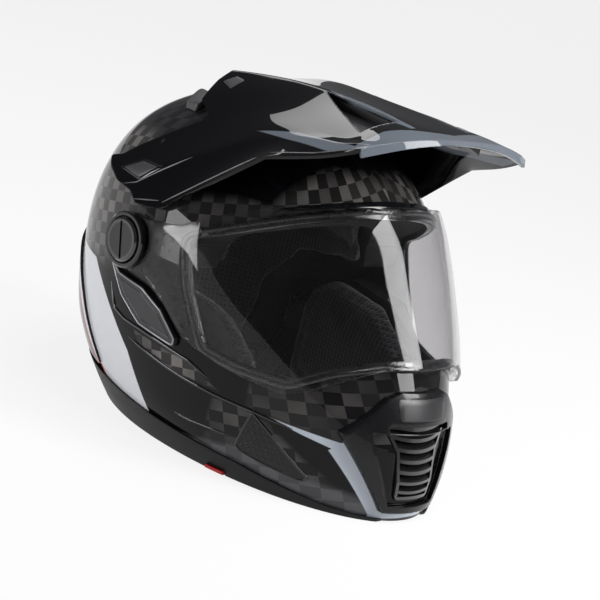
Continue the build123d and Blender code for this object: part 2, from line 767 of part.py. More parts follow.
with BuildPart() as wing_fastener:
    with BuildSketch(Plane.YZ.offset(half_width / 2)):
        with Locations((peak_boss_y, peak_boss_z)):
            Circle(peak_screw_radius)
    extrude(amount=half_width)
    add(peak_form(-seat - cover_wall / 2), mode=Mode.INTERSECT)
    add(wall_form, mode=Mode.SUBTRACT)
    with BuildPart(mode=Mode.PRIVATE) as diamond:
        add(peak_form(-seat - cover_wall))
        add(side_prism(side_points(peak_cover_shares), 0, 0, past), mode=Mode.INTERSECT)
        add(peak_form(-seat), mode=Mode.SUBTRACT)
    add(diamond.part)
finish_pair(wing_fastener, "wing_fastener")

# Cheek pads on their foam bases
cheek_points = side_points(cheek_shares)
with BuildPart() as cheek_base:
    add(liner_form)
    add(side_prism(cheek_points, cheek_radius, cheek_face, past), mode=Mode.INTERSECT)
finish_pair(cheek_base, "cheek_base")

with BuildPart() as cheek_pad:
    for depth, draw_in in cheek_pad_shares:
        with BuildSketch(Plane.YZ.offset(cheek_face - seat - depth * cheek_pad_wall)):
            with BuildLine():
                Polyline(*cheek_points, close=True)
            make_face()
            offset(amount=-draw_in * cheek_pad_wall, kind=Kind.INTERSECTION)
            fillet(vertices(), cheek_radius)
    loft(ruled=True)
finish_pair(cheek_pad, "cheek_pad")

# Neck roll, a padded collar round the back of the opening, fullest at its middle
with BuildPart() as neck_roll:
    for low, high, fullness in neck_roll_shares:
        with BuildSketch(Plane.XY.offset(neck_roll_bottom + low * (neck_roll_top - neck_roll_bottom))):
            with Locations((0, neck_roll_front)):
                Rectangle(past * 2, past * 2, align=(Align.CENTER, Align.MIN))
        extrude(amount=(high - low) * (neck_roll_top - neck_roll_bottom))
        inner = shell_form(-liner_depth - fullness * neck_roll_wall, -liner_depth - fullness * neck_roll_wall)
        band = Plane.XY.offset(neck_roll_bottom + low * (neck_roll_top - neck_roll_bottom))
        with BuildPart(mode=Mode.PRIVATE) as hollow:
            with BuildSketch(band):
                Rectangle(past * 2, past * 2 + nape_reach)
            extrude(amount=(high - low) * (neck_roll_top - neck_roll_bottom))
            add(inner, mode=Mode.INTERSECT)
        add(hollow.part, mode=Mode.SUBTRACT)
    add(liner_form, mode=Mode.INTERSECT)
finish(neck_roll, "neck_roll")

# Chin strap anchors, riveted inside the shell, with a flat inner face for the webbing
strap_middle = strap_y + strap_width / 2
with BuildPart() as strap_anchor:
    with BuildSketch(Plane.YZ.offset(anchor_face)):
        with Locations((strap_middle, strap_anchor_z)):
            RectangleRounded(anchor_half_width * 2, anchor_height, outline_radius)
    extrude(amount=overrun)
    add(liner_form, mode=Mode.INTERSECT)
finish_pair(strap_anchor, "strap_anchor")

# Chin straps: webbing from the anchors down to the floor and in to the middle
strap_plane = Plane.XZ.offset(-strap_y)
strap_outside = anchor_face - seat
strap_low = strap_floor + strap_wall


def strap_band(end):
    """The left-hand webbing in front view, from its anchor to an end near the middle."""
    with BuildPart() as band:
        with BuildSketch(strap_plane):
            with BuildLine():
                Polyline((strap_outside, strap_anchor_z + anchor_height / 2),
                         (strap_outside, strap_anchor_z - anchor_height / 2),
                         (strap_foot_x, strap_floor), (end, strap_floor), (end, strap_low),
                         (strap_foot_x - strap_wall, strap_low),
                         (strap_outside - strap_wall, strap_anchor_z - anchor_height / 2),
                         (strap_outside - strap_wall, strap_anchor_z + anchor_height / 2), close=True)
            make_face()
        extrude(amount=-strap_width)
    return band.part


with BuildPart() as strap_right:
    mirror(strap_band(-strap_right_end), about=Plane.YZ)
finish(strap_right, "strap_right")

# Left strap, sewn in two rolls round the bars of the rings
roll_radius = ring_wire + ring_clearance + ring_roll_wall
roll_z = strap_floor + roll_radius
roll_places = [(strap_left_end, roll_z), (strap_left_end - ring_pitch, roll_z)]
with BuildPart() as strap_left:
    add(strap_band(strap_left_end - ring_pitch))
    with BuildSketch(strap_plane):
        with Locations(*roll_places):
            Circle(roll_radius)
    extrude(amount=-strap_width)
    with BuildSketch(strap_plane):
        with Locations(*roll_places):
            Circle(ring_wire + ring_clearance)
    extrude(amount=-strap_width, mode=Mode.SUBTRACT)
finish(strap_left, "strap_left")


def d_ring(name, bar_x, half, reach):
    """A ring with its bar in one of the strap's rolls, lying towards the mid-plane."""
    with BuildPart() as ring:
        with BuildSketch(Plane.XY.offset(roll_z - ring_wire)):
            with BuildLine():
                Polyline((bar_x + ring_wire, strap_middle + half), (bar_x + ring_wire, strap_middle - half),
                         (bar_x - reach / 2, strap_middle - half), (bar_x - reach, strap_middle - half / 2),
                         (bar_x - reach, strap_middle + half / 2), (bar_x - reach / 2, strap_middle + half),
                         close=True)
            make_face()
            offset(amount=-ring_wire * 2, kind=Kind.INTERSECTION, mode=Mode.SUBTRACT)
        extrude(amount=ring_wire * 2)
        with BuildSketch(Plane.XZ.offset(-strap_middle)):
            with Locations((bar_x, roll_z)):
                Rectangle(ring_wire * 2 + seat, ring_wire * 2 + seat)
        extrude(amount=half - ring_wire * 2, both=True, mode=Mode.SUBTRACT)
        with BuildSketch(Plane.XZ.offset(-strap_middle)):
            with Locations((bar_x, roll_z)):
                Circle(ring_wire)
        extrude(amount=half - ring_wire, both=True)
    finish(ring, name)


d_ring("inner_d_ring", strap_left_end - ring_pitch, inner_ring_half, inner_ring_reach)
d_ring("outer_d_ring", strap_left_end, outer_ring_half, outer_ring_reach)

# Emergency release tabs, hung under the cheek pads' bases and out through the slots
with BuildPart() as release_tab:
    with BuildSketch(Plane.XY.offset(seat)):
        with Locations((release_inside, release_middle)):
            Rectangle(overrun, release_width, align=(Align.MIN, Align.CENTER))
    extrude(amount=release_wall)
    with BuildSketch(Plane.XY.offset(seat)):
        with Locations((release_inside, release_middle)):
            Rectangle(release_wall, release_width, align=(Align.MIN, Align.CENTER))
    extrude(amount=cheek_shares[0][1] * crown_height - seat * 2)
    add(shell_form(trim_height + release_reach, trim_height + release_reach), mode=Mode.INTERSECT)
finish_pair(release_tab, "release_tab")
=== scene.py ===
"""Dual sport helmet: its looks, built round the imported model.

Sizes are millimetres; MM turns them into metres.
"""
import bpy
import bmesh
from math import cos, exp, pi, radians, sin, tan
from mathutils import Matrix, Vector
from mathutils.bvhtree import BVHTree
from mathutils.kdtree import KDTree


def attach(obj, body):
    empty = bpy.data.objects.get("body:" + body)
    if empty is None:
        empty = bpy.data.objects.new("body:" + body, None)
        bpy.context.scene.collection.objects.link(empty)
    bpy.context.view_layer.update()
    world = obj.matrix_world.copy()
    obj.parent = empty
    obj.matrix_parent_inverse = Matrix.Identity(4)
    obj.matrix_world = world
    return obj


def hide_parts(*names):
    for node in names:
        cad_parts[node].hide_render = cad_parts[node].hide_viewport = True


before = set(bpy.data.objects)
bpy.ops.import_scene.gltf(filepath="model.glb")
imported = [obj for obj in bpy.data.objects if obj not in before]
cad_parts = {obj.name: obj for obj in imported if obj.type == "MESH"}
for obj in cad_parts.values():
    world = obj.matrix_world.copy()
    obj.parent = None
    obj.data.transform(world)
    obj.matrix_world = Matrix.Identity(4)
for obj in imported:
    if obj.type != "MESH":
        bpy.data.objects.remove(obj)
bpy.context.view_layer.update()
MM = 0.001

# Camera: the photograph looks down at the helmet's right front quarter, from a little over a metre away.
# Its place and turn were found by laying the helmet's outline on the photograph's.
eye = Vector((-0.98995, -0.90920, 0.47010))
sight = Vector((0.7071, 0.6645, -0.2418))
sight_up = Vector((0.0, 0.3420, 0.9397))
sight_right = sight.cross(sight_up)
camera = bpy.data.objects.new("camera", bpy.data.cameras.new("camera"))
camera.data.lens = 106.8
camera.data.sensor_width = 36.0
camera.data.shift_x = 0.055
camera.data.shift_y = -0.070
camera.matrix_world = Matrix((
    (sight_right.x, sight_up.x, -sight.x, eye.x),
    (sight_right.y, sight_up.y, -sight.y, eye.y),
    (sight_right.z, sight_up.z, -sight.z, eye.z),
    (0, 0, 0, 1)))
bpy.context.scene.collection.objects.link(camera)
bpy.context.scene.camera = camera
bpy.context.scene.view_settings.view_transform = "Standard"


# Studio: a pale floor that keeps the helmet's shadow, a dim plain surround, and soft boxes at the places
# that the peak, the shell and the shield mirror them in the photograph.
class Term:
    """A number on its way through a material; Python's operators add its Math nodes."""

    def __init__(self, finish, socket):
        self.finish = finish
        self.socket = socket

    def math(self, operation, *others):
        return self.finish.math(operation, self, *others)

    def __add__(self, other):
        return self.math("ADD", other)

    def __sub__(self, other):
        return self.math("SUBTRACT", other)

    def __rsub__(self, other):
        return self.finish.math("SUBTRACT", other, self)

    def __mul__(self, other):
        return self.math("MULTIPLY", other)

    def __truediv__(self, other):
        return self.math("DIVIDE", other)

    __radd__ = __add__
    __rmul__ = __mul__

    def clamp(self):
        term = self.math("ADD", 0)
        term.socket.node.use_clamp = True
        return term


class Finish:
    """A material of one finish, with one method that adds any node."""

    def __init__(self, name, color, roughness=0.5, grain=None, pebbles=None, **sockets):
        """Grain is for grained(), and pebbles are a scale in waves per metre and a strength."""
        self.material = bpy.data.materials.new(name)
        self.material.use_nodes = True
        self.tree = self.material.node_tree
        self.shader = self.tree.nodes["Principled BSDF"]
        self.set(base_color=(*color, 1), roughness=roughness, **sockets)
        if grain:
            self.grained(*grain)
        if pebbles:
            self.bump(self.noise(pebbles[0]), pebbles[1], 0.0002)

    def set(self, **sockets):
        """Values, sockets or terms for the shader's inputs, by their names in small letters."""
        for name, value in sockets.items():
            self.feed(self.shader.inputs[name.replace("_", " ").title().replace("Ior", "IOR")], value)
        return self

    def feed(self, socket, value):
        if isinstance(value, Term):
            self.tree.links.new(value.socket, socket)
        elif isinstance(value, bpy.types.NodeSocket):
            self.tree.links.new(value, socket)
        else:
            socket.default_value = value

    def node(self, kind, settings=None, inputs=None):
        node = self.tree.nodes.new("ShaderNode" + kind)
        for name, value in (settings or {}).items():
            setattr(node, name, value)
        for name, value in (inputs or {}).items():
            self.feed(node.inputs[name], value)
        return node

    def math(self, operation, *values):
        node = self.node("Math", {"operation": operation}, dict(enumerate(values)))
        return Term(self, node.outputs[0])

    def place(self):
        """Where a point of the piece is, as three numbers in millimetres."""
        coordinates = self.node("TexCoord").outputs["Object"]
        scaled = self.node("VectorMath", {"operation": "SCALE"}, {0: coordinates, 3: 1 / MM}).outputs[0]
        parts = self.node("SeparateXYZ", None, {0: scaled})
        return [Term(self, out) for out in parts.outputs]

    def vector(self, *terms):
        return self.node("CombineXYZ", None, dict(enumerate(terms))).outputs[0]

    def mix(self, factor, first, second):
        """A colour between two, each a colour or a socket."""
        first, second = [(*c, 1) if isinstance(c, tuple) and len(c) == 3 else c for c in (first, second)]
        node = self.node("Mix", {"data_type": "RGBA"}, {0: factor, 6: first, 7: second})
        return node.outputs[2]

    def noise(self, scale, detail=2.0, roughness=0.5, stretch=(1, 1, 1)):
        """Noise with a scale in waves per metre, as a number."""
        coordinates = self.node("TexCoord").outputs["Object"]
        mapping = self.node("Mapping", None, {"Vector": coordinates, "Scale": stretch})
        node = self.node("TexNoise", None, {"Vector": mapping.outputs[0], "Scale": scale,
                                            "Detail": detail, "Roughness": roughness})
        return Term(self, node.outputs["Fac"])

    def grained(self, roughness, spread, scale, detail=2.0):
        """Uneven roughness, from noise with a scale in waves per metre."""
        return self.set(roughness=roughness + spread * self.noise(scale, detail))

    def bump(self, height, strength, distance):
        node = self.node("Bump", None, {"Height": height, "Strength": strength, "Distance": distance})
        self.feed(self.shader.inputs["Normal"], node.outputs[0])
        return self

    def inside(self, across, along, corners, soft=0.4):
        """1 inside a convex outline and 0 outside it, over an edge soft millimetres wide."""
        turn = sum(a[0] * b[1] - b[0] * a[1] for a, b in zip(corners, corners[1:] + corners[:1]))
        depth = None
        for a, b in zip(corners, corners[1:] + corners[:1]):
            edge = Vector((b[0] - a[0], b[1] - a[1])).normalized()
            normal = Vector((-edge.y, edge.x)) * (1 if turn > 0 else -1)
            offset = -normal.dot(Vector(a))
            reach = self.math("MULTIPLY_ADD", along, normal.y, offset)
            reach = self.math("MULTIPLY_ADD", across, normal.x, reach)
            depth = reach if depth is None else self.math("MINIMUM", depth, reach)
        return (depth / soft + 0.5).clamp()


floor = bpy.data.objects.new("floor", bpy.data.meshes.new("floor"))
floor_mesh = bmesh.new()
floor_half, floor_drop = 40.0, 0.0002
bmesh.ops.create_grid(floor_mesh, x_segments=2, y_segments=2, size=floor_half)
bmesh.ops.translate(floor_mesh, verts=floor_mesh.verts, vec=(0, 0, -floor_drop))
floor_mesh.to_mesh(floor.data)
bpy.context.scene.collection.objects.link(floor)
floor_paint = Finish("studio_floor", (0.80, 0.80, 0.81), 0.9)
rays = floor_paint.node("LightPath")
seen = floor_paint.node("Emission", None, {"Color": (1, 1, 1, 1), "Strength": 1.0})
looked_at = floor_paint.math("MAXIMUM", rays.outputs["Is Camera Ray"], rays.outputs["Is Glossy Ray"])
looked_at = floor_paint.math("MAXIMUM", looked_at, rays.outputs["Is Transmission Ray"])
lit = floor_paint.node("MixShader", None,
                       {0: looked_at * 0.86, 1: floor_paint.shader.outputs[0], 2: seen.outputs[0]})
floor_out = floor_paint.tree.nodes["Material Output"]
floor_paint.tree.links.new(lit.outputs[0], floor_out.inputs[0])
floor.data.materials.append(floor_paint.material)

world = bpy.data.worlds.new("studio")
bpy.context.scene.world = world
world.use_nodes = True
surround = world.node_tree.nodes["Background"]
surround.inputs["Color"].default_value = (0.96, 0.97, 1.0, 1)
sky_rays = world.node_tree.nodes.new("ShaderNodeLightPath")
level = 0.08
for kind, extra in (("Is Camera Ray", 0.84), ("Is Transmission Ray", 0.16), ("Is Glossy Ray", 0.04)):
    share = world.node_tree.nodes.new("ShaderNodeMath")
    share.operation = "MULTIPLY_ADD"
    world.node_tree.links.new(sky_rays.outputs[kind], share.inputs[0])
    share.inputs[1].default_value = extra
    if isinstance(level, float):
        share.inputs[2].default_value = level
    else:
        world.node_tree.links.new(level, share.inputs[2])
    level = share.outputs[0]
world.node_tree.links.new(level, surround.inputs["Strength"])

for name, where, aim, size, power in (
        ("top_box", (0.10, -0.35, 1.75), (0, 0, 0.20), (1.00, 0.80), 18.0),
        ("rear_box", (0.60, 1.19, 1.13), (-0.05, -0.06, 0.27), (0.52, 0.27), 1.1),
        ("side_box", (-1.30, 0.42, 0.26), (-0.12, 0.0, 0.15), (0.46, 0.42), 6.5),
        ("strip_box", (0.62, -1.10, 0.86), (-0.02, -0.13, 0.16), (0.46, 0.90), 20.0)):
    box = bpy.data.objects.new(name, bpy.data.lights.new(name, "AREA"))
    box.data.shape = "RECTANGLE"
    box.data.size, box.data.size_y = size
    box.data.energy = power
    box.location = where
    box.rotation_euler = (Vector(aim) - Vector(where)).to_track_quat("-Z", "Y").to_euler()
    bpy.context.scene.collection.objects.link(box)


# Outer shell: a moulded composite shell with a rolled crown, painted gloss black over a woven check, with
# white side panels and a pale stripe round the chin. Its eye port, vent mouth and release slots are cut out.
half_width, crown_height, chin_reach, nape_reach = 128.0, 257.5, 177.0, 175.0
# Each level: height, half width, reach ahead, reach behind and where it is widest, as shares of the sizes.
levels = [
    (0.000, 0.805, 1.000, 0.700, -0.050), (0.050, 0.852, 1.003, 0.778, -0.028),
    (0.120, 0.905, 0.997, 0.865, 0.010), (0.214, 0.945, 0.977, 0.950, 0.075),
    (0.320, 0.976, 0.930, 0.986, 0.110), (0.430, 0.995, 0.860, 1.000, 0.146),
    (0.535, 0.999, 0.775, 0.993, 0.180), (0.640, 0.985, 0.684, 0.958, 0.206),
    (0.738, 0.930, 0.596, 0.900, 0.235), (0.820, 0.838, 0.497, 0.826, 0.254),
    (0.885, 0.712, 0.378, 0.733, 0.269), (0.935, 0.558, 0.232, 0.628, 0.280),
    (0.970, 0.395, 0.090, 0.523, 0.286), (0.991, 0.220, -0.060, 0.430, 0.290),
    (0.999, 0.080, -0.190, 0.345, 0.290), (1.000, 0.000, -0.287, 0.290, 0.290)]
front_fullness, back_fullness = 0.53, 0.585
front_span = max(level[2] * chin_reach + level[4] * nape_reach for level in levels)
back_span = max((level[3] - level[4]) * nape_reach for level in levels)


def level_at(t):
    """The level's five shares at a place between the levels, on one smooth curve through them."""
    i = min(int(t), len(levels) - 2)
    f = t - i
    p = [levels[max(0, min(len(levels) - 1, i + k))] for k in (-1, 0, 1, 2)]
    return [b + 0.5 * f * (c - a + f * (2 * a - 5 * b + 4 * c - d + f * (3 * (b - c) + d - a)))
            for a, b, c, d in zip(*p)]


def ring_at(t, side, front, quarter_steps):
    """Points round the helmet at one level, from its left side by way of the face."""
    up, wide, ahead, behind, widest = level_at(t)
    half = wide * (half_width + side)
    mid = widest * nape_reach
    to_front = -(ahead * chin_reach + mid) * (1 + front / front_span)
    to_back = (behind * nape_reach - mid) * (1 + side / back_span)
    ring = []
    quarters = ((1, to_front, front_fullness, True), (-1, to_front, front_fullness, False),
                (-1, to_back, back_fullness, True), (1, to_back, back_fullness, False))
    for hand, reach, fullness, forward in quarters:
        for k in range(quarter_steps):
            s = (k if forward else quarter_steps - k) / quarter_steps
            x = half * ((1 - s) ** 3 + 3 * (1 - s) ** 2 * s + 3 * (1 - s) * s * s * fullness)
            y = mid + reach * (3 * (1 - s) ** 2 * s * fullness + 3 * (1 - s) * s * s + s ** 3)
            ring.append((hand * x, y, up * (crown_height + front)))
    return ring


def add_piece(name, mesh):
    piece = bpy.data.objects.new(name, mesh)
    bpy.context.scene.collection.objects.link(piece)
    return piece


def built(name, bm):
    """A piece of the scene, with its faces turned outwards."""
    bmesh.ops.recalc_face_normals(bm, faces=bm.faces)
    mesh = bpy.data.meshes.new(name)
    bm.to_mesh(mesh)
    return add_piece(name, mesh)


def form(name, side, front, quarter_steps=40, rings=84):
    """The helmet's closed form, grown at the sides and back, and at the front and top."""
    bm = bmesh.new()
    rows = []
    for k in range(rings):
        t = (len(levels) - 1) * k / rings
        rows.append([bm.verts.new(Vector(p) * MM) for p in ring_at(t, side, front, quarter_steps)])
    top = bm.verts.new(Vector((0, levels[-1][4] * nape_reach, crown_height + front)) * MM)
    count = len(rows[0])
    for low, high in zip(rows, rows[1:]):
        for k in range(count):
            n = (k + 1) % count
            bm.faces.new((low[k], high[k], high[n], low[n]))
    for k in range(count):
        bm.faces.new((rows[-1][k], top, rows[-1][(k + 1) % count]))
    bm.faces.new(rows[0])
    return built(name, bm)


def rounded(points, radius, steps=6):
    """An outline with its corners rounded."""
    out = []
    for i, corner in enumerate(points):
        b = Vector(corner)
        before, after = Vector(points[i - 1]) - b, Vector(points[(i + 1) % len(points)]) - b
        reach = min(radius / tan(before.angle(after) / 2), before.length * 0.48, after.length * 0.48)
        p, q = b + before.normalized() * reach, b + after.normalized() * reach
        for k in range(steps + 1):
            s = k / steps
            out.append(p * (1 - s) ** 2 + b * 2 * s * (1 - s) + q * s * s)
    return out


def grown(points, amount):
    """An outline moved outwards by an amount, or inwards by a negative one."""
    turn = sum(a[0] * b[1] - b[0] * a[1] for a, b in zip(points, ringed(points)[1:]))
    out = []
    for i, corner in enumerate(points):
        b = Vector(corner)
        into = (b - Vector(points[i - 1])).normalized()
        away = (Vector(points[(i + 1) % len(points)]) - b).normalized()
        first, second = [Vector((e.y, -e.x)) * (1 if turn > 0 else -1) for e in (into, away)]
        out.append(tuple(b + (first + second) * amount / max(1 + first.dot(second), 0.3)))
    return out


def ringed(points):
    """An outline with its first point again at its end."""
    return [*points, points[0]]


def bridge(bm, low, high):
    """Faces between two closed rings of corners."""
    for k in range(len(low)):
        n = (k + 1) % len(low)
        bm.faces.new((low[k], low[n], high[n], high[k]))


def prism(points, axis, start, end):
    """A closed prism of an outline, along X of a side view, Y of a front view or Z of a plan."""
    bm = bmesh.new()
    order = {"X": (2, 0, 1), "Y": (0, 2, 1), "Z": (0, 1, 2)}[axis]
    caps = [[bm.verts.new(Vector([(*p, s)[k] for k in order]) * MM) for p in points] for s in (start, end)]
    bridge(bm, *caps)
    for cap in caps:
        bm.faces.new(cap)
    return built("prism", bm)


def settle(piece):
    """Turn a piece with its modifiers into a plain mesh."""
    bpy.context.view_layer.update()
    made = bpy.data.meshes.new_from_object(piece.evaluated_get(bpy.context.evaluated_depsgraph_get()))
    piece.modifiers.clear()
    piece.data = made
    return piece


def skin_of(piece):
    """A piece's surface, to cast rays on."""
    return BVHTree.FromObject(piece, bpy.context.evaluated_depsgraph_get())


def carve(piece, tool, operation="DIFFERENCE"):
    """Cut a piece with a closed tool, which is then thrown away."""
    cutter = piece.modifiers.new("cut", "BOOLEAN")
    cutter.operation = operation
    cutter.object = tool
    cutter.solver = "EXACT"
    settle(piece)
    bpy.data.objects.remove(tool)
    return piece


def smooth(piece, angle=32, edge=0.0):
    """Shade a piece smoothly, with its sharp edges rounded off by a small width first."""
    if edge:
        soften = piece.modifiers.new("soften", "BEVEL")
        soften.width = edge * MM
        soften.segments = 2
        soften.limit_method = "ANGLE"
        soften.angle_limit = radians(50)
        settle(piece)
    piece.data.shade_smooth()
    piece.data.set_sharp_from_angle(angle=radians(angle))
    return piece


def dress(piece, finish, slot, body="helmet", *nodes):
    """Give a piece its finish, if one is given, its body, and hide the nodes it stands for; the record slot
    is not used.
    """
    if finish:
        piece.data.materials.clear()
        piece.data.materials.append(finish.material)
    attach(piece, body)
    if nodes:
        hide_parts(*nodes)
    return piece


def layer(name, outer, inner, keep=(), cut=(), edge=0.5):
    """A layer over the shell between two growths, kept inside some tools and cut by others."""
    piece = form(name, *outer)
    for tool in keep:
        carve(piece, tool, "INTERSECT")
    carve(piece, form("inner", *inner))
    for tool in cut:
        carve(piece, tool)
    return smooth(piece, 32, edge)


def side_outline(shares):
    """A side view's outline from shares of the reaches and the crown's height."""
    return [(along * (chin_reach if along < 0 else nape_reach), up * crown_height) for along, up in shares]


def front_outline(shares):
    """A front view's outline from shares of the half width and the crown's height."""
    return [(across * half_width, up * crown_height) for across, up in shares]


past = 190.0            # further out than any piece
through_sides = ("X", -past, past)
through_chin = ("Y", -240, -90)
seated = (0.6, 0.6)     # growths of the inner face of what sits on the shell
shell_wall = 3.5
port = side_outline([
    (-0.079, 0.614), (-0.186, 0.652), (-0.407, 0.742), (-0.537, 0.792), (-1.300, 0.800), (-1.300, 0.450),
    (-0.847, 0.447), (-0.734, 0.400), (-0.621, 0.338), (-0.429, 0.338), (-0.282, 0.350), (-0.153, 0.493)])
grille_outline = front_outline([
    (0.273, 0.280), (-0.273, 0.280), (-0.172, 0.202), (-0.141, 0.066), (0.141, 0.066), (0.172, 0.202)])
release_from, release_to, release_top = -81.4, -65.6, 3.6
port_corner, grille_corner = 9.0, 4.0


def port_tool(grow=0.0):
    """A cutter of the eye port, at a distance outside its edge."""
    return prism(rounded(grown(port, grow), port_corner + grow), *through_sides)


def release_slots():
    """A cutter of the slots that the cheek pads' release tabs hang out of."""
    across_all = [(-past, release_from), (past, release_from), (past, release_to), (-past, release_to)]
    return prism(across_all, "Z", -5, release_top)


shell = layer("outer_shell_skin", (0, 0), (-shell_wall, -shell_wall), cut=[
    port_tool(), prism(rounded(grille_outline, grille_corner), *through_chin), release_slots()])

cell = 8.6              # side of a square of the woven check
black = (0.0030, 0.0030, 0.0040)
paint = Finish("shell_paint", black, 0.22, coat_weight=1.0, coat_roughness=0.02, coat_ior=1.28,
               specular_ior_level=0.0)
x, y, z = paint.place()
wide = paint.math("ABSOLUTE", x)
wrap_middle, wrap_radius, tilt = 25, 112, radians(-14)
around = paint.math("ARCTAN2", wide, wrap_middle - y) * wrap_radius
check_u = around * (cos(tilt) / cell) + z * (sin(tilt) / cell)
check_v = z * (cos(tilt) / cell) - around * (sin(tilt) / cell)
cell_u, cell_v = check_u.math("FLOOR"), check_v.math("FLOOR")
odd = (cell_u + cell_v).math("FLOORED_MODULO", 2)
chance = Term(paint, paint.node("TexWhiteNoise", {"noise_dimensions": "2D"},
                                {"Vector": paint.vector(cell_u, cell_v, 0)}).outputs["Value"])
tows = (check_u * 40 * (1 - odd) + check_v * 40 * odd).math("SINE") * 0.5 + 0.5
blotch = (paint.noise(26, 2.0) * 3.2 - 0.95).clamp()
# The rear zone shows the woven check, which is real. It also lightens the checks and the squares between
# them, which is a painted reflection.
rear_checks_and_reflection = paint.inside(y, z, [(46, 116), (128, 108), (170, 150), (140, 212), (70, 214), (46, 186)], 14)
blotch = (blotch + rear_checks_and_reflection * 0.8).clamp()
weave = odd * (0.30 + 0.70 * chance) * (0.8 + 0.2 * tows) * (0.35 + 0.65 * blotch)
weave = weave + (1 - odd) * (0.05 + 0.10 * chance + 0.12 * rear_checks_and_reflection)
brow_zone = paint.inside(y, z, [(-52, 180), (-56, 226), (-150, 232), (-150, 190)], 10)
temple_zone = paint.inside(y, z, [(50, 140), (58, 172), (30, 184), (-30, 196), (-66, 196), (-40, 172)], 6)
chin_zone = paint.inside(y, z, [(-88, 60), (-88, 92), (-200, 130), (-200, 50), (-140, 54)], 3)
low_zone = paint.inside(y, z, [(-64, 56), (-84, 57), (-125, 52), (-165, 12), (-180, 2), (-60, 2)], 4)
band_zone = paint.inside(y, z, [(18, 76), (-40, 73), (-66, 62), (-37, 62), (12, 69)], 1.5)
# Painted reflection: a soft grey over the rear crown stands for a broad blurred reflection there.
painted_crown_reflection = paint.inside(y, z, [(20, 206), (46, 262), (150, 250), (190, 150), (120, 104), (46, 112)], 30)
under_light = paint.inside(y, z, [(-40, 16), (-88, 26), (-170, 16), (-180, -5), (-40, -5)], 5)
ahead_only = ((-60 - y) / 4).clamp()
brow_plate = paint.inside(wide, z, [(-5, 190), (17, 190), (19, 208), (-5, 210)], 1.0) * ahead_only
lift = rear_checks_and_reflection * 0.95 + brow_zone + temple_zone * 0.55 + chin_zone * 0.36 + low_zone * 0.42 + band_zone
lift = lift.clamp()
lift = lift * (1 - brow_plate)
color = paint.mix((weave * lift * (1 + 0.35 * rear_checks_and_reflection)).clamp(), black, (0.225, 0.212, 0.200))
color = paint.mix(painted_crown_reflection * (0.5 - 0.25 * odd), color, (0.060, 0.060, 0.064))
color = paint.mix(under_light * (0.55 + 0.3 * odd), color, (0.105, 0.106, 0.115))
panel_outline = [(139, 112), (62, 109), (43, 84), (20, 62), (-2, 36), (-24, 17), (52, 15), (66, 27),
                 (80, 42), (108, 64), (136, 88)]
panel_low = paint.inside(y, z, panel_outline, 0.8)
white = (0.78, 0.79, 0.82)
color = paint.mix(panel_low, color, white)
edge_side = paint.inside(y, z, [(160, 116), (132, 114), (120, 100), (44, 21), (44, 0), (160, 0)], 1.0)
red_edge = paint.inside(y, z, grown(panel_outline, 2.4), 0.6)
color = paint.mix(red_edge * edge_side * (1 - panel_low), color, (0.60, 0.035, 0.03))
stripe_top = paint.inside(wide, z, [(96, 57), (88, 56.5), (57, 53), (62, 46.5), (78, 52)], 0.5)
stripe_down = paint.inside(wide, z, [(64, 46), (57, 54), (26, 8), (30, 1)], 0.5)
stripe_low = paint.inside(wide, z, [(-5, 10), (28, 10), (33, 1.5), (-5, 2.5)], 0.5)
stripe = (stripe_top + stripe_down + stripe_low).clamp() * ahead_only
color = paint.mix(stripe, color, (0.50, 0.54, 0.60))
# Painted highlights: thin pale grey lines along the side's folds, and a wedge by the pod, where the folds
# catch the light.
painted_fold_glint_middle = paint.inside(y, z, [(26, 68.8), (-37, 61), (-70, 57.2), (-64, 59.5), (-20, 63.6), (26, 69.8)],
                         0.5)
painted_pod_wedge_glint = paint.inside(y, z, [(28, 91.5), (15, 91.8), (-8, 87), (-24, 84.5), (-10, 83.5), (10, 86.5)], 0.6)
painted_fold_glint_upper = paint.inside(y, z,
                         [(31, 81.2), (0, 79.8), (-40, 75.2), (-62, 66), (-40, 74), (0, 78.6), (31, 80.2)],
                         0.4)
painted_fold_glint_low = paint.inside(y, z, [(-31, 32), (-48, 31.8), (-66, 32.4), (-48, 30), (-38, 30.4)], 0.5)
painted_fold_glints = (painted_fold_glint_middle * 0.7 + painted_pod_wedge_glint + painted_fold_glint_upper + painted_fold_glint_low).clamp()
color = paint.mix(painted_fold_glints, color, (0.36, 0.36, 0.385))
flakes = paint.noise(900, 1.0)
paint.set(base_color=color, roughness=0.24 + 0.16 * lift - 0.04 * flakes, coat_weight=1.0)
paint.bump(paint.noise(60, 1.5) + weave * lift * 0.25, 0.06, 0.0006)
dress(shell, paint, "shell", "helmet", "outer_shell")


inner_middle = Vector((0, 40, 120)) * MM


def bare_inside(piece, finish):
    """Give the faces that look inwards a finish of their own."""
    piece.data.materials.append(finish.material)
    for face in piece.data.polygons:
        outwards = face.center - inner_middle
        if face.normal.dot(outwards.normalized()) < -0.25:
            face.material_index = 1


bare = Finish("shell_inside", (0.012, 0.012, 0.013), 0.7, grain=(0.62, 0.2, 240))
bare_inside(shell, bare)


# Foams inside the shell: the crown's impact liner, the chin bar's foam and the bases of the cheek pads are
# moulded beads, black and slightly pebbled, pressed into the shell. They keep their CAD solids.
def cad(node, finish):
    """Give a carried-over CAD node a finish."""
    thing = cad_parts[node]
    for slot_place in thing.material_slots:
        slot_place.material = finish.material
    if not thing.material_slots:
        thing.data.materials.append(finish.material)
    return thing


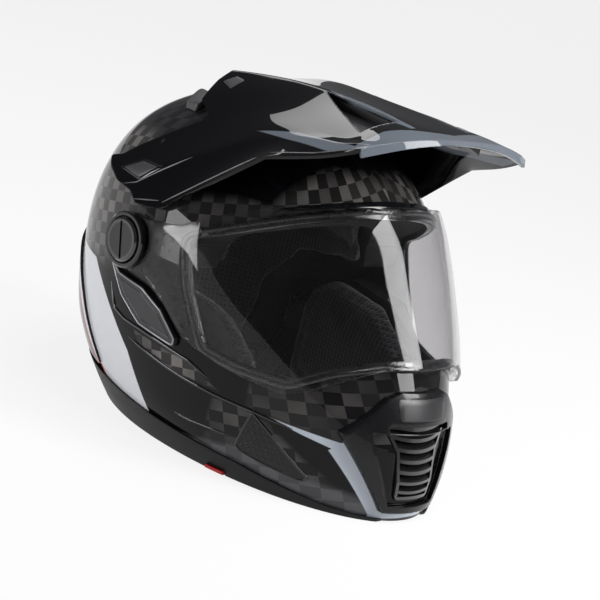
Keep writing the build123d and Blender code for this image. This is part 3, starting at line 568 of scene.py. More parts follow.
bead_scale = 420.0      # beads in a metre
foam = Finish("liner_foam", (0.012, 0.012, 0.013), 0.78)
beads = foam.node("TexVoronoi", {"feature": "F1"},
                  {"Vector": foam.node("TexCoord").outputs["Object"], "Scale": bead_scale})
foam.bump(Term(foam, beads.outputs["Distance"]), 0.5, 0.0004)
foam.grained(0.7, 0.2, 160)
for node in ("impact_liner", "chin_liner", "cheek_base_left", "cheek_base_right"):
    cad(node, foam)


# Seal: a glossy extruded rubber bead round the eye port, with a thin lip towards the opening and a round roll
# outside it that the closed shield rests on. It is pushed on to the shell's cut edge.
def level_of(z, front):
    """The level at a height, found by halving."""
    low, high = 0.0, len(levels) - 1.0
    for _ in range(22):
        middle = (low + high) / 2
        low, high = (middle, high) if level_at(middle)[0] * (crown_height + front) < z else (low, middle)
    return low


def on_form(y, z, side, front):
    """Half the form's width at a place of the side view, or nothing ahead of it and behind it."""
    ring = ring_at(level_of(z, front), side, front, 60)
    for a, b in zip(ring[180:] + ring[:60], ring[181:] + ring[:61]):
        if a[1] >= y > b[1]:
            return a[0] + (b[0] - a[0]) * (a[1] - y) / (a[1] - b[1])
    return None


def stepped(points, step):
    """Places along a line, in even steps of about one length."""
    out = []
    for a, b in zip(points, points[1:]):
        a, b = Vector(a), Vector(b)
        count = max(1, round((b - a).length / step))
        out += [a.lerp(b, k / count) for k in range(count)]
    return [*out, Vector(points[-1])]


def laid(points, side, front, hand=1, step=2.5, apart=1.6):
    """A side view's line laid on the form, as points in metres."""
    out = []
    for at_y, at_z in stepped(points, step):
        half = on_form(at_y, at_z, side, front)
        spot = None if half is None else Vector((hand * half, at_y, at_z)) * MM
        if spot and (not out or (spot - out[-1]).length > apart * MM):
            out.append(spot)
    return out


def tube(name, points, radius, closed=False, tip=1.0):
    """A round bead along points in metres; a tip under 1 draws its ends in."""
    line = bpy.data.curves.new(name, "CURVE")
    line.dimensions = "3D"
    line.bevel_depth = radius * MM
    line.bevel_resolution = 3
    line.use_fill_caps = True
    run = line.splines.new("POLY")
    run.points.add(len(points) - 1)
    for k, (knot, at) in enumerate(zip(run.points, points)):
        knot.co = (*at, 1)
        knot.radius = 1 if closed else min(1, tip + (1 - tip) * min(k, len(points) - 1 - k) / 6)
    run.use_cyclic_u = closed
    thread = bpy.data.objects.new(name, line)
    bpy.context.scene.collection.objects.link(thread)
    bpy.context.view_layer.update()
    mesh = bpy.data.meshes.new_from_object(thread.evaluated_get(bpy.context.evaluated_depsgraph_get()))
    bpy.data.objects.remove(thread)
    piece = add_piece(name, mesh)
    piece.data.shade_smooth()
    return piece


def joined(name, pieces):
    """Several made pieces as one."""
    bm = bmesh.new()
    for piece in pieces:
        bm.from_mesh(piece.data)
        bpy.data.objects.remove(piece)
    return built(name, bm)


def port_line(grow, side, front):
    """A closed line round the eye port, at a distance outside its edge."""
    edge = rounded(grown(port, grow), port_corner + grow)
    first = max(range(len(edge)), key=lambda k: (edge[k][0] < -200) * (1000 - edge[k][1]))
    edge = edge[first:] + edge[:first + 1]
    half = laid(edge, side, front, 1, 0.25, 2.2)
    return half + [Vector((-at.x, at.y, at.z)) for at in reversed(half)]


seal = joined("eyeport_bead", [
    layer("seal_foot", (1.0, 4.2), seated, keep=[port_tool(6.4)], cut=[port_tool(0.2)]),
    tube("seal_lip", port_line(1.1, 0.5, 2.6), 1.3, closed=True),
    tube("seal_roll", port_line(4.6, -0.2, 3.4), 2.3, closed=True)])
smooth(seal, 40)
rubber = Finish("black_rubber", (0.004, 0.004, 0.005), 0.20, grain=(0.20, 0.16, 120, 3), coat_weight=0.8,
                coat_roughness=0.16, coat_ior=1.5)
dress(seal, rubber, "rubber", "helmet", "eyeport_seal")


# Brow gutter: an extruded gloss rail over the seal that leads rain off to the sides. It is glued to the shell
# along its foot, and its front edge is rounded.
brow_only = side_outline([(-0.330, 1.000), (-1.300, 1.000), (-1.300, 0.700), (-0.330, 0.740)])


def over_brow(line):
    """The part of a line round the eye port that runs over the brow."""
    return [at for at in line if at.z > 186 * MM and at.y < -58.5 * MM]


gutter = joined("brow_rail", [
    layer("rail_foot", (2.2, 2.4), seated, keep=[port_tool(13.2), prism(brow_only, *through_sides)],
          cut=[port_tool(7.8)]),
    tube("rail_edge", over_brow(port_line(9.0, 1.6, 1.6)), 1.2, tip=0.3),
    tube("rail_back", over_brow(port_line(12.4, 1.2, 1.2)), 0.8, tip=0.3)])
smooth(gutter, 40)
gloss = Finish("gloss_black", (0.004, 0.004, 0.005), 0.12, grain=(0.12, 0.06, 60, 2), coat_weight=1.0,
               coat_roughness=0.03, coat_ior=1.42, specular_ior_level=0.2)
dress(gutter, gloss, "gloss_trim", "helmet", "brow_gutter")


# Small mouldings and metal that keep their CAD solids: the vent's duct, shutter and louvres, the base plates,
# hubs and knobs in black plastic, anchors, crown screw and D-rings in brushed steel, and red release tabs.
satin = Finish("satin_black", (0.017, 0.017, 0.019), 0.38, grain=(0.34, 0.12, 180, 3), pebbles=(1600, 0.10))
pebble_gloss = Finish("satin_frame", (0.005, 0.005, 0.006), 0.24, grain=(0.22, 0.12, 150, 3),
                      pebbles=(2200, 0.06), specular_ior_level=0.22,
                      coat_weight=0.5, coat_roughness=0.05, coat_ior=1.3)
grey_dark = Finish("bare_plate", (0.020, 0.020, 0.022), 0.30, grain=(0.26, 0.14, 260, 3))
steel = Finish("brushed_steel", (0.42, 0.42, 0.43), 0.32, metallic=1.0)
steel.set(roughness=0.26 + 0.18 * steel.noise(300, 3, 0.6, (1, 14, 1)))
red = Finish("red_plastic", (0.55, 0.012, 0.015), 0.35, grain=(0.32, 0.1, 200, 2))
louvre_gloss = Finish("louvre_gloss", (0.010, 0.010, 0.011), 0.16, grain=(0.14, 0.10, 200, 2),
                      coat_weight=1.0, coat_ior=1.5, coat_roughness=0.06)
knob_satin = Finish("knob_satin", (0.010, 0.010, 0.011), 0.34, coat_roughness=0.05, coat_ior=1.45)
x, y, z = knob_satin.place()
pivot_y, pivot_z = 38, 140
from_pivot = ((y - pivot_y) * (y - pivot_y) + (z - pivot_z) * (z - pivot_z)).math("SQRT")
ring = ((from_pivot - 12.6) / 0.5).clamp()
knob_satin.set(coat_weight=ring, roughness=0.34 + 0.10 * knob_satin.noise(240, 3) - 0.14 * ring)
kept_solids = {
    satin: ("chin_vent_duct", "chin_vent_shutter"), louvre_gloss: ("chin_vent_grille",),
    pebble_gloss: ("base_plate_left", "base_plate_right"), gloss: ("shield_hub_left", "shield_hub_right"),
    knob_satin: ("pivot_knob_left", "pivot_knob_right"), red: ("release_tab_left", "release_tab_right"),
    steel: ("crown_screw", "strap_anchor_left", "strap_anchor_right", "inner_d_ring", "outer_d_ring")}
for finish, nodes in kept_solids.items():
    for node in nodes:
        cad(node, finish)


# Chin vent cover: a moulded faceted frame, standing proud of the chin, with rounded bright edges and a mouth
# round the louvres. It is clipped through the shell, and a bare plate closes it above them.
cover_outline = front_outline([(0.484, 0.237), (0.258, 0.350), (0.172, 0.369), (-0.172, 0.369),
                               (-0.258, 0.350), (-0.484, 0.237), (-0.211, 0.031), (0.211, 0.031)])
mouth_outline = front_outline([(0.352, 0.256), (-0.352, 0.256), (-0.185, 0.050), (0.185, 0.050)])
cover_growth, bead_growth = 4.7, 4.1
cover = layer("chin_vent_frame", (cover_growth, cover_growth), seated, edge=0.9,
              keep=[prism(rounded(cover_outline, 2.0), *through_chin)],
              cut=[prism(rounded(mouth_outline, 4.0), *through_chin),
                   prism(rounded(grille_outline, grille_corner), *through_chin)])
dress(cover, pebble_gloss, "gloss_trim", "helmet", "chin_vent_cover")


def on_front(x, z, side, front):
    """How far forward the form reaches at a place of the front view."""
    ring = ring_at(level_of(z, front), side, front, 60)
    for a, b in zip(ring[:60], ring[1:61]):
        if a[0] >= abs(x) >= b[0] and a[0] > b[0]:
            return a[1] + (b[1] - a[1]) * (a[0] - abs(x)) / (a[0] - b[0])
    return ring[60][1]


def faced(points, front, step=2.0):
    """A front view's line laid on the chin, as points in metres."""
    return [Vector((at.x, on_front(at.x, at.y, front, front), at.y)) * MM for at in stepped(points, step)]


cover_lines = []
cover_edges = ((rounded(grown(cover_outline, -0.9), 2.0), 0.65),
               (rounded(grown(mouth_outline, 0.9), 4.0), 0.6))
for line, radius in cover_edges:
    ring = faced(ringed(line), 4.0)[:-1]
    ring = [at for k, at in enumerate(ring) if (at - ring[k - 1]).length > 0.6 * MM]
    cover_lines.append(tube("cover_edge", ring, radius, closed=True))
cover_folds = ([(61, 61), (46, 62), (33, 90)], [(46, 62), (34, 36), (25, 11)])
for hand in (1, -1):
    for fold in cover_folds:
        cover_lines.append(tube("cover_fold", faced([(hand * x, z) for x, z in fold], bead_growth), 0.6,
                                tip=0.3))
cover_beads = joined("chin_vent_beads", cover_lines)
cover_beads.data.shade_smooth()
dress(cover_beads, gloss, "gloss_trim")
plate_growth = 5.0
plate = layer("chin_vent_plate", (plate_growth, plate_growth), (0.8, 0.8), edge=0.6, keep=[prism(rounded(
    [(26, 91), (-26, 91), (-24, 76), (24, 76)], 2.5), *through_chin)])
dress(plate, grey_dark, "gloss_trim")


# Base trim and spoiler: a rubber edge pushed on round the opening, and over it a gloss moulded skirt that is
# taped round the nape.
trim_low = [(1.371, 0.117), (0.343, 0.093), (0.000, 0.078), (-0.508, 0.058), (-0.706, 0.035), (-0.847, 0.018),
            (-0.980, 0.008), (-0.980, -0.039), (1.371, -0.039)]
trim_growth, spoiler_growth = 3.0, 2.6
trim = layer("base_edge", (trim_growth, trim_growth), seated,
             keep=[prism(side_outline(trim_low), *through_sides)],
             cut=[release_slots()])
trim_rubber = Finish("trim_rubber", (0.007, 0.007, 0.008), 0.5, grain=(0.42, 0.16, 120, 3),
                     pebbles=(900, 0.15), specular_ior_level=0.25)
dress(trim, trim_rubber, "rubber", "helmet", "base_trim")
spoiler = layer("nape_spoiler", (spoiler_growth, spoiler_growth), seated, keep=[prism(rounded(side_outline(
    [(1.371, 0.474), (0.971, 0.458), (0.754, 0.404), (0.571, 0.280), (0.434, 0.171), (0.354, 0.112),
     (0.686, 0.124), (1.371, 0.136)]), 2.0), *through_sides)])
dress(spoiler, paint, "gloss_trim", "helmet", "rear_spoiler")
bare_inside(spoiler, bare)


# Side pods: satin moulded plates below the shield's arms, one for each side, each with a light grey bead
# round its rim, whose colour is a painted highlight, and a gloss one inside it, and screwed through the shell
# from inside.
pod_growth = 4.4
pod_outline = side_outline([(0.309, 0.474), (0.229, 0.443), (0.069, 0.435), (-0.056, 0.398), (-0.153, 0.338),
                            (-0.153, 0.311), (0.057, 0.326), (0.194, 0.381)])
# Painted highlight: the rim bead is light grey and part metallic. It stands for the bright line that the
# pod's edge catches.
rim_highlight_grey = Finish("rim_highlight_grey_paint", (0.30, 0.30, 0.315), 0.30, grain=(0.26, 0.14, 240, 3), metallic=0.6)
pebble = Finish("pod_plastic", (0.020, 0.020, 0.023), 0.42, grain=(0.36, 0.16, 220, 3), pebbles=(2600, 0.22))
sides = ((1, "left"), (-1, "right"))
for hand, side_name in sides:
    node = f"side_pod_{side_name}"
    pod = joined(f"{node}_plate", [
        layer("pod_face", (pod_growth, pod_growth), seated, cut=[port_tool(7.6)],
              keep=[prism(rounded(pod_outline, 2.0), "X", *sorted((0, hand * past)))], edge=0.4)])
    smooth(pod, 32)
    dress(pod, pebble, "gloss_trim", "helmet", node)
    rim_line = rounded(grown(pod_outline, -0.9), 2.0)
    rim = tube(f"{node}_bead", laid(ringed(rim_line), 4.3, 4.3, hand, 1.2, 1.0), 0.75, closed=True)
    dress(rim, rim_highlight_grey, "gloss_trim")
    inner_line = rounded(grown(pod_outline, -4.6), 2.0)
    inner = tube(f"{node}_inner_bead", laid(ringed(inner_line), 4.2, 4.2, hand, 1.2, 1.0), 0.45,
                 closed=True)
    dress(inner, gloss, "gloss_trim")


# Raised lines of the shell's side: rounded folds in the moulding that catch the light under the pod and on
# towards the chin, and a satin inset by the chin in a raised bead.
# Each fold: its radius, and its line in the side view.
folds = [
    (1.5, [(56, 104), (44, 84), (31, 80.5), (10, 79.5), (-11, 77.5), (-40, 74), (-62, 66)]),
    (1.3, [(26, 69), (14, 67.5), (-4, 64.5), (-20, 62), (-37, 60), (-64, 58), (-92, 57), (-119, 54),
           (-125, 53)]),
    (0.9, [(-31, 31), (-48, 31), (-65, 32), (-88, 33.5)])]
for hand, side_name in sides:
    creases = joined(f"shell_folds_{side_name}", [
        tube("fold", laid(points, 0.1 - 0.35 * radius, 0.1 - 0.35 * radius, hand), radius, tip=0.1)
        for radius, points in folds])
    creases.data.shade_smooth()
    dress(creases, gloss, "shell")

mark_satin = Finish("mark_satin", (0.007, 0.007, 0.008), 0.34, grain=(0.30, 0.14, 240, 3),
                    pebbles=(1800, 0.15), specular_ior_level=0.3)
recess_outline = [(-94, 56), (-108, 46), (-123, 33), (-137, 21), (-133, 18), (-119, 20), (-105, 22),
                  (-91, 25), (-87, 28), (-90, 40)]
marks = {}
for hand, side_name in sides:
    corner_line = rounded(recess_outline, 1.2)
    bead_line = laid(ringed(corner_line), -0.1, -0.1, hand, 1.5, 1.2)
    frame_bead = tube(f"cheek_mark_bead_{side_name}", bead_line, 1.0, closed=True)
    dress(frame_bead, gloss, "shell")
    inset = layer(f"cheek_mark_{side_name}", (0.35, 0.35), (-1.0, -1.0), edge=0.2, keep=[
        prism(corner_line, "X", *sorted((0, hand * past)))])
    dress(inset, mark_satin, "shell")
    marks[hand] = inset


# Perforations of the cheek mark: ringed holes over the satin inset, drilled square to the surface. Every
# other row is moved by half a pitch.
class Recipe:
    """A Geometry Nodes tree with named inputs that makes one piece."""

    kinds = {float: "NodeSocketFloat", int: "NodeSocketInt", bpy.types.Object: "NodeSocketObject",
             bpy.types.Material: "NodeSocketMaterial", Vector: "NodeSocketVector"}

    def __init__(self, name, **values):
        self.name = name
        self.values = values
        self.tree = bpy.data.node_groups.new(name, "GeometryNodeTree")
        face = self.tree.interface
        face.new_socket("Geometry", in_out="INPUT", socket_type="NodeSocketGeometry")
        face.new_socket("Geometry", in_out="OUTPUT", socket_type="NodeSocketGeometry")
        for title, value in values.items():
            face.new_socket(title, in_out="INPUT", socket_type=self.kinds[type(value)])
        self.inlet = self.tree.nodes.new("NodeGroupInput")
        self.start = self.inlet.outputs["Geometry"]

    def size(self, title):
        return self.inlet.outputs[title]

    def node(self, kind, settings=None, inputs=None):
        node = self.tree.nodes.new(kind)
        for name, value in (settings or {}).items():
            setattr(node, name, value)
        for name, value in (inputs or {}).items():
            if isinstance(value, bpy.types.NodeSocket):
                self.tree.links.new(value, node.inputs[name])
            else:
                node.inputs[name].default_value = value
        return node

    def made(self, geometry, places, lines=()):
        """The tree's result as a plain mesh, from places in metres and the lines between them."""
        real = self.node("GeometryNodeRealizeInstances", None, {0: geometry})
        covered = self.node("GeometryNodeSetMaterial", None,
                            {0: real.outputs[0], "Material": self.size("finish")})
        self.tree.links.new(covered.outputs[0], self.tree.nodes.new("NodeGroupOutput").inputs[0])
        mesh = bpy.data.meshes.new(self.name)
        mesh.from_pydata(places, lines, [])
        piece = add_piece(self.name, mesh)
        growth = piece.modifiers.new("growth", "NODES")
        growth.node_group = self.tree
        for socket in self.tree.interface.items_tree:
            if socket.in_out == "INPUT" and socket.name in self.values:
                growth[socket.identifier] = self.values[socket.name]
        return settle(piece)


def pressed(recipe, shape, hand, places):
    """A recipe's shape at places of the side view, moved on to its surface and turned square to it."""
    target = recipe.node("GeometryNodeObjectInfo", {"transform_space": "RELATIVE"},
                         {"Object": recipe.size("surface")})
    start = recipe.node("GeometryNodeInputPosition")
    hit = recipe.node("GeometryNodeRaycast", None, {
        "Target Geometry": target.outputs["Geometry"], "Source Position": start.outputs[0],
        "Ray Direction": recipe.size("from_side"), "Ray Length": 0.2})
    facing = recipe.node("FunctionNodeAlignRotationToVector", {"axis": "Z"},
                         {"Vector": hit.outputs["Hit Normal"]})
    kept = recipe.node("GeometryNodeCaptureAttribute")
    kept.capture_items.new("ROTATION", "facing")
    recipe.tree.links.new(recipe.start, kept.inputs[0])
    recipe.tree.links.new(facing.outputs[0], kept.inputs[1])
    points = recipe.node("GeometryNodeMeshToPoints", None, {
        "Mesh": kept.outputs[0], "Position": hit.outputs["Hit Position"]})
    spread = recipe.node("GeometryNodeInstanceOnPoints", None, {
        "Points": points.outputs[0], "Instance": shape, "Rotation": kept.outputs[1]})
    piece = recipe.made(spread.outputs[0], [Vector((hand * past, y, z)) * MM for y, z in places])
    piece.data.shade_smooth()
    return piece


def wire_ring(recipe, corners, radius, thickness, sections):
    """A ring of round wire with some corners, as a socket."""
    ring = recipe.node("GeometryNodeCurvePrimitiveCircle", {"mode": "RADIUS"},
                       {"Resolution": corners, "Radius": radius})
    wire = recipe.node("GeometryNodeCurvePrimitiveCircle", {"mode": "RADIUS"},
                       {"Resolution": sections, "Radius": thickness})
    bent = recipe.node("GeometryNodeCurveToMesh", None,
                       {"Curve": ring.outputs[0], "Profile Curve": wire.outputs[0]})
    return bent.outputs[0]


def depth_inside(spot, outline, middle):
    """How far inside an outline a spot lies, square to its nearest edge."""
    depths = []
    for a, b in zip(outline, ringed(outline)[1:]):
        normal = Vector((b[1] - a[1], a[0] - b[0])).normalized()
        towards = 1 if (middle - Vector(a)).dot(normal) > 0 else -1
        depths.append((spot - Vector(a)).dot(normal) * towards)
    return min(depths)


hole_pitch, hole_row, hole_margin = 4.6, 4.0, 2.2
grid_start, mark_middle = Vector((-124, 21)), Vector((-104, 33))
grid = [grid_start + Vector((column * hole_pitch + (row % 2) * hole_pitch / 2, row * hole_row))
        for row in range(9) for column in range(9)]
hole_places = [spot for spot in grid if depth_inside(spot, recess_outline, mark_middle) > hole_margin]
for hand, side_name in sides:
    dots = Recipe(f"cheek_holes_{side_name}", surface=marks[hand], finish=gloss.material,
                  radius=1.1 * MM, rim=0.28 * MM, from_side=Vector((-hand, 0, 0)))
    rim_ring = wire_ring(dots, 12, dots.size("radius"), dots.size("rim"), 5)
    dress(pressed(dots, rim_ring, hand, hole_places), None, "shell")


# Shield: one clear polycarbonate moulding, 2.2 thick, whose arms turn on the side pivots. It lies off the
# shell by a gap that grows towards the face, and the hood leaves room for it when it is lifted.
lens_outline = side_outline([
    (0.217, 0.629), (0.086, 0.629), (-0.045, 0.649), (-0.107, 0.680), (-0.186, 0.715), (-0.333, 0.769),
    (-0.531, 0.823), (-1.300, 0.839), (-1.300, 0.439), (-0.876, 0.431), (-0.734, 0.334), (-0.633, 0.299),
    (-0.362, 0.322), (-0.192, 0.350), (-0.068, 0.419), (0.069, 0.470), (0.217, 0.458)])
pivot, arm_radius, bore_radius = (38.0, 140.0), 21, 6.1


def round_outline(radius, steps):
    """A circle round the shield's pivot, in the side view."""
    turns = [2 * pi * k / steps for k in range(steps)]
    return [(pivot[0] + radius * cos(turn), pivot[1] + radius * sin(turn)) for turn in turns]


circle, bore = round_outline(arm_radius, 48), round_outline(bore_radius, 24)
lens_tool = prism(rounded(lens_outline, 4.0), *through_sides)
carve(lens_tool, prism(circle, "X", -past + 1, past - 1), "UNION")
lens_outer, lens_inner = (5.4, 10.0), (3.2, 7.8)
lens = layer("clear_shield", lens_outer, lens_inner, keep=[lens_tool], cut=[prism(bore, *through_sides)])
clear = Finish("clear_polycarbonate", (0.74, 0.73, 0.74), 0.0, transmission_weight=1.0, ior=1.27)
haze = clear.noise(40, 2)
clear.set(base_color=clear.mix(haze, (0.71, 0.70, 0.71), (0.76, 0.75, 0.76)))
dress(lens, clear, "lens", "visor", "shield")


# Screws of the base plates: three domed steel heads on each side, under the shield's arms, each with a ring
# pressed round a hexagon socket.
screw_places = side_outline([(0.080, 0.501), (-0.107, 0.450), (-0.169, 0.384)])
for hand, side_name in sides:
    heads = Recipe(f"plate_screws_{side_name}", surface=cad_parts[f"base_plate_{side_name}"],
                   finish=steel.material, radius=2.2 * MM, socket=1.0 * MM,
                   from_side=Vector((-hand, 0, 0)), dome=Vector((1.0, 1.0, 0.42)))
    dome = heads.node("GeometryNodeMeshUVSphere", None,
                      {"Segments": 16, "Rings": 8, "Radius": heads.size("radius")})
    flat = heads.node("GeometryNodeTransform", None,
                      {"Geometry": dome.outputs[0], "Scale": heads.size("dome")})
    hexagon = wire_ring(heads, 6, heads.size("socket"), 0.3 * MM, 6)
    raised = heads.node("GeometryNodeTransform", None,
                        {"Geometry": hexagon, "Translation": (0, 0, 0.75 * MM)})
    head = heads.node("GeometryNodeJoinGeometry")
    heads.tree.links.new(raised.outputs[0], head.inputs[0])
    heads.tree.links.new(flat.outputs[0], head.inputs[0])
    dress(pressed(heads, head.outputs[0], hand, screw_places), None, "steel", "helmet", "plate_rivets")


# Crown vents: two satin grey moulded blocks behind the peak's rear corners, each screwed to the shell over
# its outlet.
grey_plate = Finish("grey_cover", (0.055, 0.054, 0.058), 0.36, grain=(0.34, 0.14, 260, 3),
                    pebbles=(1500, 0.10))
vent_plan = [(0.610, 0.394), (0.437, 0.462), (0.500, 0.337), (0.625, 0.314)]
vent_growth = 5.0
for hand, side_name in sides:
    node = f"crown_vent_{side_name}"
    plan = [(hand * u * half_width, v * nape_reach) for u, v in vent_plan]
    block = layer(f"{node}_block", (vent_growth, vent_growth), seated,
                  keep=[prism(rounded(plan, 2.0), "Z", 100, 300)])
    dress(block, grey_plate, "gloss_trim", "helmet", node)


# Peak: a folded hood with two ridges, a dished middle, scoops and wings down to the pivots, moulded in gloss
# black with blue-grey bands along its lip, its sides and its scoops. It is screwed on at the crown and wings.
peak_wall, peak_round = 2.6, 0.7
# Rows from the lip to the wings' ends, each from the mid-plane out to the edge: across, along and up.
hood_rows = [
    [(0, -139.0, 275.0), (40, -137.0, 271.0), (58, -134.8, 267.5), (72, -131.6, 263.5), (82, -129.4, 260.5),
     (91, -127.0, 257.5)],
    [(0, -137.5, 277.6), (40, -135.5, 275.6), (58, -133.2, 273.2), (73, -130.0, 269.6), (83, -127.5, 267.0),
     (92.5, -124.8, 263.0)],
    [(0, -118, 278.3), (33, -117, 278.2), (58, -113, 275.5), (80, -112, 266.5), (88, -112, 264.0),
     (98, -111, 255.2)],
    [(0, -98, 278.7), (30, -98, 279.1), (56, -98, 274), (80, -99, 262.5), (89, -100, 259.5),
     (104.3, -93, 247.4)],
    [(0, -60, 279.1), (24, -62, 279.8), (52, -60, 271), (81, -62, 258.5), (89, -63, 255.5),
     (115.5, -60.5, 237)],
    [(0, -20, 278.3), (22, -22, 279.3), (52, -20, 268), (86, -20, 252), (100, -30, 241), (123, -22, 204.6)],
    [(0, 18, 276.0), (33, 18, 277.7), (56, 18, 270), (82, 14, 249), (113, 10, 214), (130, 16, 172)],
    [(0, 58.5, 267), (50, 59, 271.2), (62, 58, 263), (84, 58, 243), (126.5, 52, 186), (131.5, 60, 164)],
    [(0, 95, 262), (56, 95, 262), (70, 95, 248), (92, 95, 232), (122, 95, 188), (129, 95, 160)]]
bm = bmesh.new()
columns = len(hood_rows[0]) * 2 - 1
across = len(hood_rows[0]) - 1
for points in hood_rows:
    for px, py, pz in points[:0:-1]:
        bm.verts.new(Vector((-px, py, pz)) * MM)
    for point in points:
        bm.verts.new(Vector(point) * MM)
bm.verts.ensure_lookup_table()
for row in range(len(hood_rows) - 1):
    for k in range(columns - 1):
        corner = row * columns + k
        bm.faces.new([bm.verts[corner + step] for step in (0, 1, columns + 1, columns)])
bm.verts.index_update()
fold = bm.edges.layers.float.new("crease_edge")
point_fold = bm.verts.layers.float.new("crease_vert")
row_folds = {0: 1.0, 1: 0.9}
line_folds = {1: (0.0, 0.0, 0.2, 0.6, 0.8, 0.75, 0.7, 0.7), 3: (0.0, 0.6, 0.8, 0.85, 0.3, 0.0, 0.0, 0.0),
              4: (0.0, 0.6, 0.7, 0.8, 0.4, 0.5, 0.9, 0.9), 5: (1.0,) * (len(hood_rows) - 1)}
for edge in bm.edges:
    (row_a, line_a), (row_b, _) = [divmod(v.index, columns) for v in edge.verts]
    off = abs(line_a - across)
    if row_a == row_b:
        edge[fold] = row_folds.get(row_a, 0.0)
    elif off in line_folds:
        edge[fold] = line_folds[off][min(row_a, row_b)]
for v in bm.verts:
    row, side = divmod(v.index, columns)
    if abs(side - across) == 5 and row in (0, 1, 4, 6):
        v[point_fold] = 1.0


def finer(piece, levels):
    """A piece subdivided along its creases."""
    fine = piece.modifiers.new("fine", "SUBSURF")
    fine.levels = fine.render_levels = levels
    return settle(piece)


hood = finer(built("peak_hood", bm), 4)
hood_sheet = hood.data.copy()
wall = hood.modifiers.new("wall", "SOLIDIFY")
wall.thickness = peak_wall * MM
wall.offset = -1.0
settle(hood)
peak_trim = side_outline([
    (-1.356, 1.165), (0.337, 1.165), (0.337, 1.017), (0.303, 0.959), (0.171, 0.928), (0.240, 0.889),
    (0.314, 0.847), (0.400, 0.796), (0.457, 0.753), (0.514, 0.738), (0.480, 0.707), (0.406, 0.683),
    (0.303, 0.674), (0.103, 0.600), (-1.356, 0.600)])
carve(hood, prism(rounded(peak_trim, 1.5, 3), *through_sides), "INTERSECT")


def under_hood(name, start, depth):
    """The space from a start under the hood's top face down to a depth, as a closed piece."""
    space = add_piece(name, hood_sheet.copy())
    lower = space.modifiers.new("lower", "DISPLACE")
    lower.mid_level = 0.0
    lower.strength = -start * MM
    deep = space.modifiers.new("deep", "SOLIDIFY")
    deep.thickness = (depth - start) * MM
    deep.offset = -1.0
    return settle(space)


def scoop_outline(hand):
    """The plan of a scoop, a triangle that opens towards the lip."""
    corners = ((0.200, -0.100), (0.250, -0.560), (0.530, -0.560))
    return [(hand * u * half_width, v * chin_reach) for u, v in corners]


pockets = []
for hand in (1, -1):
    scoop = scoop_outline(hand)
    carve(hood, prism(rounded(scoop, 2.0), "Z", 262, 300))
    walls = prism(rounded(grown(scoop, 1.6), 3.0), "Z", 240, 300)
    tub = carve(under_hood("tub", 1.2, 10.5), walls, "INTERSECT")
    carve(tub, carve(under_hood("void", -1.0, 8.5), prism(rounded(scoop, 2.0), "Z", 240, 300), "INTERSECT"))
    pockets.append(tub)
carve(hood, form("over_shell", 1.0, 1.0))
shield_room = layer("shield_room", (7.3, 10.5), (3.3, 6.5), keep=[
    prism(rounded(grown(lens_outline, 0.5), 4.0), *through_sides)])
shield_opening = radians(18)
to_pivot = Matrix.Translation(Vector((0, *pivot)) * MM)
shield_room.data.transform(to_pivot @ Matrix.Rotation(-shield_opening, 4, "X") @ to_pivot.inverted())
bpy.context.view_layer.update()
hood_skin = skin_of(hood)
carve(hood, shield_room)
smooth(hood, 26, peak_round)
scoops = smooth(joined("peak_scoops", pockets), 30)
dress(scoops, satin, "peak")
peak_paint = Finish("peak_gloss", black, 0.14,
                    coat_weight=1.0, coat_roughness=0.02, coat_ior=1.34, specular_ior_level=0.0)
x, y, z = peak_paint.place()
wide = peak_paint.math("ABSOLUTE", x)
front_grey = [(-5, -139), (60, -136), (93, -128), (86, -106), (60, -112), (34, -108), (-5, -112)]
side_grey = [(80, -104), (88, -126), (98, -102), (95, -60), (92, -12), (85, -10), (87, -60)]
scoop_grey = [(16, -10), (24, -22), (36, -100), (34, -114), (22, -114), (22, -60)]
front_band = peak_paint.inside(wide, y, front_grey, 0.7)
side_band = peak_paint.inside(wide, y, side_grey, 0.7)
scoop_band = peak_paint.inside(wide, y, scoop_grey, 0.7)
band = (front_band + side_band + scoop_band).clamp() * ((z - 244) / 3).clamp()
fleck = peak_paint.noise(700, 2)
color = peak_paint.mix(band * (0.85 + 0.15 * fleck), black, (0.155, 0.175, 0.205))
peak_paint.set(base_color=color, roughness=0.14 + 0.16 * band)
dress(hood, peak_paint, "peak", "helmet", "peak")


# Diamond covers: small satin lozenges that hide the peak's fixings, two on its ridges and two on its wings,
# each on a thin gloss foot. Light grey beads run along the wings' folds and lower edges, round the scoops and
# along the lip; their colour is a painted highlight.
# Painted highlight: the beads on the peak's edges are light grey and part metallic. They stand for the thin
# bright lines that these edges catch.
edge_highlight_grey = Finish("edge_highlight_grey", (0.16, 0.16, 0.17), 0.30, grain=(0.26, 0.16, 200, 3), metallic=0.5)


def lozenge(name, corners, rise, foot):
    """A thin plate on the hood between four corners, from a little under its skin to a rise over it."""
    a, b, c, d = [Vector(corner) * MM for corner in corners]
    out = (b - a).cross(d - a).normalized()
    if out.dot((a + c) / 2 - inner_middle) < 0:
        out.negate()
    count = 7
    bm = bmesh.new()
    sheets = [[], []]
    for row in range(count):
        for column in range(count):
            u, v = row / (count - 1), column / (count - 1)
            at = a.lerp(b, u).lerp(d.lerp(c, u), v)
            hit = hood_skin.ray_cast(at + out * 0.02, -out)[0] or at
            for sheet, height in zip(sheets, (rise, -foot)):
                sheet.append(bm.verts.new(hit + out * height * MM))
    for sheet in sheets:
        for row in range(count - 1):
            for column in range(count - 1):
                k = row * count + column
                bm.faces.new([sheet[k + step] for step in (0, 1, count + 1, count)])
    brink = [*range(count), *range(2 * count - 1, count * count, count),
             *range(count * count - 2, count * (count - 1) - 1, -1), *range(count * (count - 2), 0, -count)]
    bridge(bm, *[[sheet[k] for k in brink] for sheet in sheets])
    return smooth(built(name, bm), 32, 0.25)


def wider(corners, share):
    """Four corners moved away from their middle."""
    middle = sum((Vector(corner) for corner in corners), Vector()) / 4
    return [middle + (Vector(corner) - middle) * share for corner in corners]


